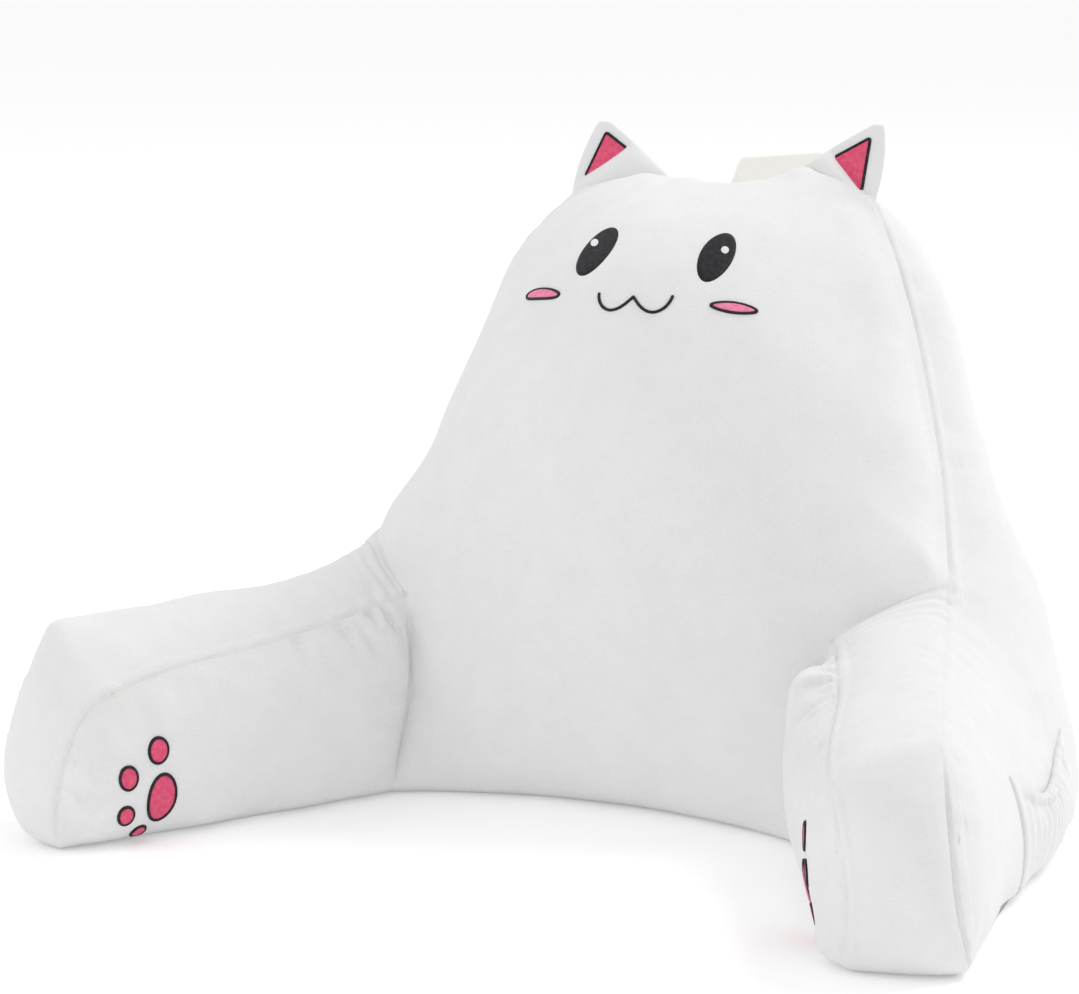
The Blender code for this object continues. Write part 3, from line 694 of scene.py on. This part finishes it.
def seamMarks(grid, s, panel, sides):
    # over the distance to each seam: cream tint and groove as bells, the band of turnings as a flat rise with
    # soft edges and short puckers, a quarter as high on the panels that don't hold it, and how far the filling
    # evens out the hollow of the seam; all but the last fade over the first and the last third of the seam
    tint, lift, hollow = (np.zeros(grid.shape[:2]) for _ in range(3))
    for name, (cream, groove, even, holders, band) in cover["seams"].items():
        start, end = cover["fades"].get(name, cover["fades"]["plain"])
        wide, rough = cover["bands"].get(name, cover["bands"]["plain"])
        for seam in onSides(s[name], sides):
            away, run = awayFrom(grid, seam)
            along = np.stack((run, 0 * run, 0 * run), axis=2)
            part = run / lengths(seam)[-1]
            here = 1 - (1 - start) * np.clip(1 - part / 0.3, 0, 1)
            here = here - (1 - end) * np.clip(part / 0.3 - 2.33, 0, 1)
            cloudy = 0.7 + 0.3 * softNoise(along, 0.03, 7)
            tint = np.maximum(tint, here * cream * np.exp(-(away / cover["tintWide"])**2) * cloudy)
            flat = np.clip((away - 0.0004) / 0.0022, 0, 1) * np.clip((wide - away) / 0.0025, 0, 1)
            flat = here * flat * flat * (3 - 2 * flat) * (1 + rough * softNoise(along, 0.0085, 9))
            lift += (band if panel in holders else 0.25 * band) * flat
            lift -= here * groove * np.exp(-(away / cover["grooveWide"])**2)
            bell = even * np.exp(-(away / cover["hollowWide"])**2)
            hollow = np.maximum(hollow, bell) if even > 0 else hollow * (1 + bell)
    return tint, lift, np.maximum(hollow, 0)


def ripples(grid, s, panel, sides, seed):
    # folds across a stretch of seam: waves along it, their hollows deeper than their crests are high, that fade
    # away from it as a bell and towards the ends of the stretch
    made = np.zeros(grid.shape[:2])
    for number, (name, start, end, high, wave, deep) in enumerate(cover["ripples"].get(panel, ())):
        for seam in onSides(s[name], ("right",) if name in cover["crossLines"] else sides):
            away, run = awayFrom(grid, seam)
            part = run / lengths(seam)[-1]
            ends = np.clip(np.minimum(part - start, end - part) / 0.06, 0, 1)
            line = np.stack((run, 0.22 * away, 0 * run), axis=2)
            long = deep * (0.75 + 0.35 * softNoise(line, 2.5 * wave, seed + number + 5))
            fade = np.clip(away / 0.003, 0, 1) * np.exp(-(away / long)**2)
            fold = softNoise(line, wave, seed + number)
            made += high * (fold - 0.35 * np.abs(fold)) * fade * ends * ends * (3 - 2 * ends)
    return made


def baseRoll(c, s):
    # the cover rolled under all round, in a quarter turn from the base seam to the flat of the base; the way
    # in is evened out along the loop, so that it fans round the corners
    right = joined(s["lap"], s["toe"], s["baseSide"], s["baseHeel"])
    loop = joined(s["frontBase"], right, s["rearBase"][::-1], mirrored(right)[::-1])
    step = np.roll(loop[:-1], -1, axis=0) - loop[:-1]
    long = np.linalg.norm(step, axis=1)
    run = np.cumsum(long) - long / 2
    inward = np.stack((-step[:, 1], step[:, 0]), axis=1) / long[:, None]
    start = np.r_[0, np.cumsum(long)[:-1]]
    gap = np.abs(start[:, None] - run[None])
    gap = np.minimum(gap, long.sum() - gap)
    near = np.exp(-(gap / c["fan"])**2 / 2) * long[None]
    inward = near @ inward
    inward = np.column_stack((inward / np.linalg.norm(inward, axis=1, keepdims=True), 0 * start))
    inward = np.concatenate((inward, inward[:1]))
    turn = np.linspace(0, math.pi / 2, 5)[None, :, None]
    return (loop[:, None] * (1, 1, 0) + (0, 0, baseSeam) * (1 - np.sin(turn))
            + inward[:, None] * c["baseInset"] * (1 - np.cos(turn)))


def outwards(mesh, points):
    # the normals that the mesh has with its points there
    mesh.vertices.foreach_set("co", points.astype(np.float32).ravel())
    mesh.update()
    normal = np.empty(3 * len(points), np.float32)
    mesh.vertices.foreach_get("normal", normal)
    return normal.reshape(-1, 3).astype(float)


def makeCover():
    # panels, welded along their seams; the seams evened out; then the bumps, the gathers, bands and grooves
    s = seamLines(cover)
    halves = {"right": coverPanels(cover, s, 0, "right"), "left": coverPanels(cover, s, 300, "left")}
    names, grids, tints, lifts, hollows = [], [], [], [], []
    for name in halves["right"]:
        paired = name in ("inner", "boxing", "sideLow", "sideUp")
        for side in ("right", "left") if paired else ("both",):
            grid, folds = halves["left" if side == "left" else "right"][name]
            grid = mirrored(grid) if side == "left" else grid
            sides = ("right", "left") if side == "both" else (side,)
            tint, lift, hollow = seamMarks(grid, s, name, sides)
            names.append(name if side == "both" else name + side.capitalize())
            grids.append(grid)
            tints.append(tint)
            more = cover["livelier"].get(names[-1], 1.0)
            lifts.append(lift + folds + more * ripples(grid, s, name, sides, 500 if side == "left" else 200))
            hollows.append(hollow)
    grids.append(baseRoll(cover, s))
    zero = np.zeros(grids[-1].shape[:2])
    points, first, numbers, faces = weldedGrids(grids)
    tints, lifts, hollows = (np.concatenate([one.reshape(-1) for one in (*many, zero)])[first]
                             for many in (tints, lifts, hollows))
    mesh = bpy.data.meshes.new("plush_cover")
    mesh.from_pydata(points, [], faces)
    tinted(mesh, tints)
    closed(mesh)
    even = cover["even"]
    (soften, passes), (fill, hollowPasses), (give, cornerPasses) = even["all"], even["hollows"], even["corners"]
    free = (points[:, 2] > 1e-6) * 1.0              # all but what lies on the floor
    low = even["foot"][0] * np.exp(-(points[:, 2] / even["foot"][1])**2)
    points = relaxed(points, faces, free * np.maximum(soften, low), passes)
    points = relaxed(points, faces, free * fill * hollows, hollowPasses, outwards(mesh, points))
    points = relaxed(points, faces, free * soften, even["last"])
    corners = sum(np.exp(-((points * (sign, 1, 1) - place)**2).sum(axis=1) / radius**2)
                  for place, radius in cover["soft"] for sign in (1, -1))
    points = relaxed(points, faces, give * np.minimum(corners, 1), cornerPasses)
    for place, radius, push in cover["bumps"]:
        away = ((points - place)**2).sum(axis=1)
        points = points + (free * np.exp(-away / radius**2))[:, None] * np.array(push)
    high, size, tall = cover["wavyFoot"]
    wavy = high * softNoise(points * (1, 1, 0.4), size, 81) * np.exp(-(points[:, 2] / tall)**2)
    points = points + outwards(mesh, points) * (1, 1, 0) * (free * wavy)[:, None]
    points = points + outwards(mesh, points) * (lifts * np.clip(points[:, 2] / 0.01 - 0.4, 0, 1))[:, None]
    mesh.vertices.foreach_set("co", points.astype(np.float32).ravel())
    piece = finished(mesh, [whitePlush])
    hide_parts("pillow_body")
    print("cover:", len(points), "points")
    return {name: points[number] for name, number in zip(names, numbers)}


panels = makeCover()
print("cover made")


# points laid on a panel
def sampled(grid, i, j):
    # bilinear reading of a grid at broken steps
    i0 = np.clip(np.floor(i).astype(int), 0, grid.shape[0] - 2)
    j0 = np.clip(np.floor(j).astype(int), 0, grid.shape[1] - 2)
    a, b = (i - i0)[..., None], (j - j0)[..., None]
    return ((1 - a) * (1 - b) * grid[i0, j0] + a * (1 - b) * grid[i0 + 1, j0]
            + (1 - a) * b * grid[i0, j0 + 1] + a * b * grid[i0 + 1, j0 + 1])


def laidOn(grid, out, points, way):
    # moves each point along way onto the panel by Newton steps on the two sides across way; returns the
    # places and the panel's normals there
    way = np.array(way, float) / np.linalg.norm(way)
    side = np.cross(way, (0, 0, 1) if abs(way[2]) < 0.9 else (1, 0, 0))
    side /= np.linalg.norm(side)
    axes = np.stack((side, np.cross(way, side)))
    flat, want = grid @ axes.T, points @ axes.T
    every = 4                               # the search starts from the nearest of every fourth point
    coarse = flat[::every, ::every].reshape(-1, 2)
    cost = (coarse**2).sum(axis=1)[None] - 2 * want.reshape(-1, 2) @ coarse.T
    hidden = ((out[::every, ::every].reshape(-1, 3) @ way) > -0.1) * 1e3      # faces away from way's start
    index = (cost + hidden[None]).argmin(axis=1).reshape(points.shape[:-1])
    width = len(range(0, grid.shape[1], every))
    i, j = float(every) * (index // width), float(every) * (index % width)
    most = 6                                # grid steps that one Newton step may move
    for _ in range(14):
        gap = want - sampled(flat, i, j)
        di = sampled(flat, i + 0.5, j) - sampled(flat, i - 0.5, j)
        dj = sampled(flat, i, j + 0.5) - sampled(flat, i, j - 0.5)
        area = di[..., 0] * dj[..., 1] - di[..., 1] * dj[..., 0]
        area = np.where(np.abs(area) < 1e-12, 1e-12, area)
        moveI = (gap[..., 0] * dj[..., 1] - gap[..., 1] * dj[..., 0]) / area
        moveJ = (di[..., 0] * gap[..., 1] - di[..., 1] * gap[..., 0]) / area
        i = np.clip(i + np.clip(moveI, -most, most), 0, grid.shape[0] - 1.001)
        j = np.clip(j + np.clip(moveJ, -most, most), 0, grid.shape[1] - 1.001)
    n = sampled(out, i, j)
    return sampled(grid, i, j), n / np.linalg.norm(n, axis=-1, keepdims=True)


# embroidery: satin stitches in low domes, with corded outlines
def ellipse(width, height, tilt, count=64, point=0.0):
    # half width and half height, tilted by degrees; point draws both ends of the height out to a leaf
    t = np.linspace(0, 2 * math.pi, count + 1)
    a, b, r = width * np.cos(t) * (1 - point * np.sin(t)**2), height * np.sin(t), math.radians(tilt)
    return np.stack((a * math.cos(r) - b * math.sin(r), a * math.sin(r) + b * math.cos(r)), axis=1)


def stitchedFill(outline, rise, sink=0.0015, rings=9):
    # polar grid over an outline: up in a dome of that rise and closed below, sunk into the plush
    t = np.linspace(0, 1, rings)
    r = np.r_[t, t[::-1]][None, :, None]
    height = np.r_[rise * (1 - t**4)**0.5, -sink + 0 * t][None, :]
    middle = outline[:-1].mean(axis=0)
    return middle + (outline[:, None] - middle) * r, np.broadcast_to(height, (len(outline), 2 * rings))


def stitchedLine(path, width, rise, looped, sink=0.0015, steps=10):
    # a round cord laid along a path: a half ellipse above the plush and a flat keel below; an open one tapers
    # off at its ends as a square root
    if looped:
        step = np.roll(path[:-1], -1, axis=0) - np.roll(path[:-1], 1, axis=0)
        step = np.concatenate((step, step[:1]))
    else:
        step = np.gradient(path, axis=0)
    side = np.stack((-step[:, 1], step[:, 0]), axis=1)
    side /= np.linalg.norm(side, axis=1, keepdims=True)
    turn = np.linspace(0, math.pi, steps)
    across = np.r_[np.cos(turn), -1, 1, 1] * width / 2
    height = np.r_[rise * np.sin(turn), -sink, -sink, 0]
    taper = np.ones(len(path))
    if not looped:
        run = lengths(path)
        taper = np.sqrt(np.clip(np.minimum(run, run[-1] - run) / (width / 2), 0, 1))
    return (path[:, None] + side[:, None] * (across[None] * taper[:, None])[..., None],
            height[None] * taper[:, None])


def axesAt(normal):
    # the level direction of a surface and the one that climbs it
    right = np.cross((0, 0, 1.0), normal)
    right /= np.linalg.norm(right)
    return right, np.cross(normal, right)


def laidParts(panel, out, middle, normal, parts):
    # flat parts laid onto the panel round a point: parts is a list of (flat grid, heights, material number)
    right, up = axesAt(normal)
    grids = []
    for flat, height, number in parts:
        place, n = laidOn(panel, out, middle + flat[..., :1] * right + flat[..., 1:] * up, -normal)
        grids.append((place + n * height[..., None], number))
    return grids, [flat for flat, _, _ in parts]


def laidPiece(name, panel, out, centre, way, parts, finishes):
    # a flat motif with its middle where centre meets the panel along way
    spot, normal = laidOn(panel, out, np.array(centre, float)[None], way)
    meshPiece(name, *laidParts(panel, out, spot[0], normal[0], parts), finishes)


face = {
    # place of the middle, half width and height, tilt in degrees, how far the ends are drawn out, height
    "eye": {"left": ((-0.0429, -0.0025, 0.3855), (0.0147, 0.0257), 22),
            "right": ((0.0478, -0.0011, 0.3869), (0.0115, 0.0243), -25), "point": 0.05, "rise": 0.0016},
    # from the middle of the eye: across and up, half width and height, tilt
    "glint": {"left": ((-0.0070, 0.0055), (0.0031, 0.0058), 62),
              "right": ((0.0058, 0.0040), (0.0029, 0.0037), -10), "rise": 0.0004},
    "cheek": {"left": ((-0.0794, -0.0190, 0.3569), (0.0240, 0.0041), 9),
              "right": ((0.0702, -0.0190, 0.3523), (0.0157, 0.0038), -9),
              "point": {"left": -0.10, "right": 0.22}, "rise": 0.0012},
    # right half of the mouth, from its middle to its end
    "mouth": {"place": (0.0048, -0.038, 0.354),
              "half": ((0, 0.0018), (0.0024, -0.0012), (0.0062, -0.0052), (0.0112, -0.0082), (0.0158, -0.0086),
                       (0.0218, -0.0052), (0.0256, 0.0010), (0.0267, 0.0064))},
    "line": 0.0022, "lineRise": 0.0013,         # corded outlines: width and height
}


def makeFace():
    front = panels["front"]
    out = normals(front, (0, -1, 0), 2)
    way = (0, 0.7, -0.7)                # from the front and above onto the panel
    for side in ("left", "right"):
        place, half, tilt = face["eye"][side]
        shape = ellipse(*half, tilt, point=face["eye"]["point"])
        rise = face["eye"]["rise"]
        laidPiece("eye_" + side, front, out, place, way, [(*stitchedFill(shape, rise), 0)], [blackThread])
        middle, half, tilt = face["glint"][side]
        spark = ellipse(*half, tilt, 24) + np.array(middle)
        flat, height = stitchedFill(spark, face["glint"]["rise"], 0.0, 6)
        laidPiece("eye_glint_" + side, front, out, place, way, [(flat, height + rise * 0.9, 0)], [whiteThread])
        place, half, tilt = face["cheek"][side]
        shape = ellipse(half[1], half[0], tilt + 90, point=face["cheek"]["point"][side])
        parts = [(*stitchedFill(shape, face["cheek"]["rise"]), 0),
                 (*stitchedLine(shape, face["line"], face["lineRise"], True), 1)]
        laidPiece("cheek_" + side, front, out, place, way, parts, [palePinkThread, blackThread])
    mouth = face["mouth"]
    right = through(np.column_stack((mouth["half"], np.zeros(len(mouth["half"])))), 40)
    path = joined(mirrored(right)[::-1], right)[:, :2]
    parts = [(*stitchedLine(path, face["line"], face["lineRise"], False), 0)]
    laidPiece("mouth", front, out, mouth["place"], way, parts, [blackThread])


makeFace()
print("face sewn")


# paws: a large pad and four small ones, each with its outline
paw = {
    "place": {"left": (-0.2361, -0.2672, 0.0312), "right": (0.2361, -0.2585, 0.0316)},
    # forward and up from the pad, half width, half height, tilt
    "spots": ((0.0, 0.0, 0.0108, 0.0175, 0), (0.0037, 0.0338, 0.0071, 0.0083, -2),
              (0.0263, 0.0180, 0.0062, 0.0076, -4), (0.0270, -0.0083, 0.0058, 0.0070, 20),
              (0.0124, -0.0250, 0.0053, 0.0050, 8)),
    "rise": 0.0014, "line": 0.0022, "lineRise": 0.0014,
}


def makePaws():
    for side, sign in (("left", -1), ("right", 1)):
        inner = panels["inner" + side.capitalize()]
        out = normals(inner, (-sign, -0.5, 0), 2)
        parts = []
        for forward, up, width, height, tilt in paw["spots"]:
            shape = ellipse(width, height, -sign * tilt, 48) + (sign * forward, up)
            parts.append((*stitchedFill(shape, paw["rise"]), 0))
            parts.append((*stitchedLine(shape, paw["line"], paw["lineRise"], True), 1))
        laidPiece("paw_" + side, inner, out, paw["place"][side], (sign, 0, 0), parts, [pinkThread, blackThread])


makePaws()
print("paws sewn")


# ears: two crowned sheets that meet along the sloping edges, with a roll folded over the foot of the lining
ear = {
    # corners of each ear, as on the right side
    "inner": {"left": (0.050, 0.131, 0.424), "right": (0.056, 0.131, 0.4355)},
    "outer": {"left": (0.1255, 0.121, 0.400), "right": (0.1145, 0.121, 0.4110)},
    "tip": {"left": (0.1135, 0.150, 0.4650), "right": (0.1092, 0.150, 0.4700)},
    "thick": 0.018, "bow": 0.004, "hollow": 0.006, "across": 64, "high": 60,
    "foot": 0.15, "sunk": 0.10,         # how far the sheets go on below the seam, and how steeply they sink
    "crestAt": 0.58,                    # the tip stands above this share of the foot
    "round": 0.13,                      # share of the height over which the tip is rounded off
    "slope": math.radians(34),          # of each edge from the upright
    "roll": 0.0080,                     # how far the roll at the foot stands out
    # lining: shares across and up at its tip, its inner and its outer corner
    "lining": {"left": ((0.466, 0.766), (0.202, 0.512), (0.869, 0.266)),
               "right": ((0.503, 0.716), (0.183, 0.309), (0.795, 0.063))},
    "fillRise": 0.0010, "line": 0.0022, "lineRise": 0.0014,
}


def earSheets(side):
    # both faces over u, across, and v, up, as crowned sheets; the roll is a half round between the foot and
    # the lining's lower edge; the tip ends in an arc that touches both edges
    inner, outer, tip = (np.array(ear[key][side]) for key in ("inner", "outer", "tip"))
    u = np.linspace(0, 1, ear["across"] + 1)[:, None, None]
    v = np.linspace(-ear["foot"], 1, ear["high"] + 1)[None, :, None]
    facing = np.cross(outer - inner, tip - (inner + outer) / 2)
    facing /= -np.linalg.norm(facing) * np.sign(facing[1])
    narrow = np.clip(v, 0, 1)
    blunt, slope = ear["round"], ear["slope"]
    turn = slope + (math.pi / 2 - slope) * np.clip((v - 1 + blunt) / blunt, 0, 1)
    wide = np.where(v > 1 - blunt, blunt * np.cos(turn) / math.cos(slope), 1 - narrow)
    climb = 1 - blunt + blunt * math.tan(slope) / math.cos(slope) * (np.sin(turn) - math.sin(slope))
    narrow = np.where(v > 1 - blunt, climb, narrow)
    base = inner * (1 - u) + outer * u
    axis = inner * (1 - ear["crestAt"]) + outer * ear["crestAt"]
    sheet = axis * (1 - narrow) + tip * narrow + (base - axis) * wide + np.minimum(v, 0) * (0, 0, ear["sunk"])
    sheet = sheet + ear["bow"] * np.sin(math.pi * narrow) * (2 * u - 1) * np.array((1.0, 0.0, 0.3))
    sheet = sheet - facing * ear["hollow"] * 4 * u * (1 - u) * (1 - narrow)
    crown = (4 * u * (1 - u))**0.6 * wide**0.5
    _, (ua, va), (ub, vb) = ear["lining"][side]
    fold = np.clip(va + (vb - va) * (u - ua) / (ub - ua), 0.02, 0.7) + 0.02
    part = np.clip((v + 0.06) / (fold + 0.06), 0, 1)
    roll = ear["roll"] * np.clip(1 - (2 * part - 1)**2, 0, 1)**0.8 * (4 * u * (1 - u))**0.7
    thick = ear["thick"] / 2 * crown
    return sheet + facing * (thick * 0.55 + roll), sheet - facing * thick, facing


def makeEars():
    for side in ("left", "right"):
        front, rear, facing = earSheets(side)
        flip = mirrored if side == "left" else np.array
        piece = meshPiece("stuffed_ear_" + side, [(flip(front), 0), (flip(rear), 0)], None, [whitePlush])
        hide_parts("ear_" + side)
        makeLining(side, front, facing, flip)


def makeLining(side, front, facing, flip):
    # a satin triangle laid on the ear's face, with a cord along its two upper edges
    a, b = (np.array([corner[k] for corner in ear["lining"][side]]) for k in (0, 1))
    corners = sampled(front, a * ear["across"], (b + ear["foot"]) / (1 + ear["foot"]) * ear["high"])
    middle = corners.mean(axis=0)
    right, up = axesAt(facing)
    tip, inner, outer = np.stack(((corners - middle) @ right, (corners - middle) @ up), axis=1)
    steps = 24                              # of each leg
    t = pace(steps)[:, None]
    legs = [p * (1 - t) + q * t for p, q in ((inner, tip), (tip, outer), (outer, inner))]
    loop = joined(*legs)[:-1]
    for _ in range(3):                      # its corners blunted
        loop = (np.roll(loop, 1, axis=0) + 2 * loop + np.roll(loop, -1, axis=0)) / 4
    parts = [(*stitchedFill(np.concatenate((loop, loop[:1])), ear["fillRise"]), 0),
             (*stitchedLine(loop[:2 * steps + 1], ear["line"], ear["lineRise"], False), 1)]
    grids, uvs = laidParts(front, normals(front, facing, 2), middle, facing, parts)
    grids = [(flip(grid), number) for grid, number in grids]
    meshPiece("ear_lining_" + side, grids, uvs, [pinkThread, blackThread])


makeEars()
print("ears made")


# carry strap: woven tape sewn down at both ends
strap = {
    "half": 0.052, "turn": 0.42,        # half of its length along X, and the share of it that turns up
    "x": 0.016, "y": 0.182, "seatZ": 0.3980, "rise": 0.0310, "slant": 0.10,
    "wide": 0.020, "thick": 0.0030, "steps": 120,
    "lean": (math.radians(-26), math.radians(70)),      # where it is sewn on, where it stands up
    "edge": (0.0082, 0.0012, 0.35),     # woven edges: from the middle, width, how much thicker
    "weave": 0.12,                      # length that the tape's ribs are laid out on
}


def makeStrap():
    # the profile, a flat tape with round edges, carried along a line that stands up between its ends; powers
    # of the cosine and the sine square its ring off
    t = np.linspace(-1, 1, strap["steps"] + 1)
    stand = np.clip((1 - np.abs(t)) / strap["turn"], 0, 1)
    stand = stand * stand * (3 - 2 * stand)
    lean = strap["lean"][0] + (strap["lean"][1] - strap["lean"][0]) * stand
    zero = 0 * t
    climb = (strap["rise"] + strap["slant"] * strap["half"] * t) * stand
    middle = np.stack((strap["x"] + strap["half"] * t, strap["y"] + zero, strap["seatZ"] + climb), axis=1)
    wide = np.stack((zero, np.cos(lean), np.sin(lean)), axis=1)
    up = np.stack((zero, -np.sin(lean), np.cos(lean)), axis=1)
    ring = np.linspace(0, 2 * math.pi, 29)
    a = np.sign(np.cos(ring)) * np.abs(np.cos(ring))**0.35 * strap["wide"] / 2
    b = np.sign(np.sin(ring)) * np.abs(np.sin(ring))**0.8 * strap["thick"] / 2
    place, width, more = strap["edge"]
    hem = 1 + more * np.exp(-((np.abs(a) - place) / width)**2)
    grid = middle[:, None] + wide[:, None] * a[None, :, None] + up[:, None] * (b * hem)[None, :, None]
    run = share(middle)[:, None] * strap["weave"] + 0 * a[None]
    uv = np.stack((run, a[None] + 0 * run), axis=2)
    piece = meshPiece("woven_strap", [(grid, 0)], [uv], [creamStrap])
    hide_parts("carry_handle")


makeStrap()
print("strap made")


# side pocket: a sheet that follows the side panel and stands off it at the gathered mouth
pocket = {
    "frontY": (-0.136, -0.134), "rearY": (0.030, 0.026),        # at the bottom, at the mouth
    "lowZ": 0.007, "highZ": (0.082, 0.075), "sag": 0.025,       # the mouth's front and rear end, its sag
    "stand": 0.0075, "mouth": 0.25,             # how far it stands off, and what is left of that at the mouth
    "thick": 0.0022, "hem": 0.0020, "groove": 0.0008,           # the hem and the stitches below it
    "pleats": 13, "pleatDeep": 0.0034, "fine": 0.0009,          # pleats, and small gathers at the hem
    "along": 240, "up": 56,
}


def makePocket():
    # over a, along, and b, up: the places between the ends, dropped onto the side panel along X and pushed off
    # it by a belly that is drawn in at the mouth; pleats are a cosine along a, the hem and its stitches bells
    # over b
    p = pocket
    side = panels["sideLowRight"]
    out = normals(side, (1, 0, 0), 8)
    a, b = np.meshgrid(np.linspace(0, 1, p["along"] + 1), np.linspace(0, 1, p["up"] + 1), indexing="ij")
    mouth = p["highZ"][0] + (p["highZ"][1] - p["highZ"][0]) * a - p["sag"] * 4 * a * (1 - a)
    front = p["frontY"][0] + (p["frontY"][1] - p["frontY"][0]) * b
    rear = p["rearY"][0] + (p["rearY"][1] - p["rearY"][0]) * b
    y = front + (rear - front) * a
    z = p["lowZ"] + (mouth - p["lowZ"]) * b
    place, n = laidOn(side, out, np.stack((0 * y + 1, y, z), axis=2), (-1, 0, 0))
    drawn = 1 - (1 - p["mouth"]) * np.clip((b - 0.55) / 0.45, 0, 1)**2
    belly = 1.6 * a**0.5 * (1 - a)**0.9 * np.minimum(1, 1.6 * b)**0.8
    wander = a + 0.012 * softNoise(np.stack((a, 0.35 * b, 0 * a), axis=2), 0.25, 5)
    folds = 0.5 + 0.5 * np.cos(2 * math.pi * p["pleats"] * wander)
    fine = softNoise(np.stack((a, 0.08 * b, 0 * a), axis=2), 0.035, 6)
    gather = np.exp(-((b - 0.86) / 0.16)**2)
    hem = p["hem"] * np.exp(-((b - 0.93) / 0.055)**2) - p["groove"] * np.exp(-((b - 0.84) / 0.02)**2)
    stand = p["stand"] * belly * drawn - p["thick"] / 2
    edge = np.minimum(1, 12 * np.minimum(a, 1 - a))
    ripple = p["pleatDeep"] * folds * belly + p["fine"] * fine * gather * edge + hem * edge
    inner = place + n * (stand - 0.0004)[..., None]
    outer = place + n * (stand + p["thick"] + ripple)[..., None]
    rims = [np.stack(pair, axis=1) for pair in ((outer[:, 0], inner[:, 0]), (inner[:, -1], outer[:, -1]),
                                                (inner[0], outer[0]), (outer[-1], inner[-1]))]
    piece = meshPiece("gathered_pocket", [(grid, 0) for grid in (outer, inner, *rims)], None, [whitePlush])
    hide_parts("side_pocket")


makePocket()
print("pocket made")
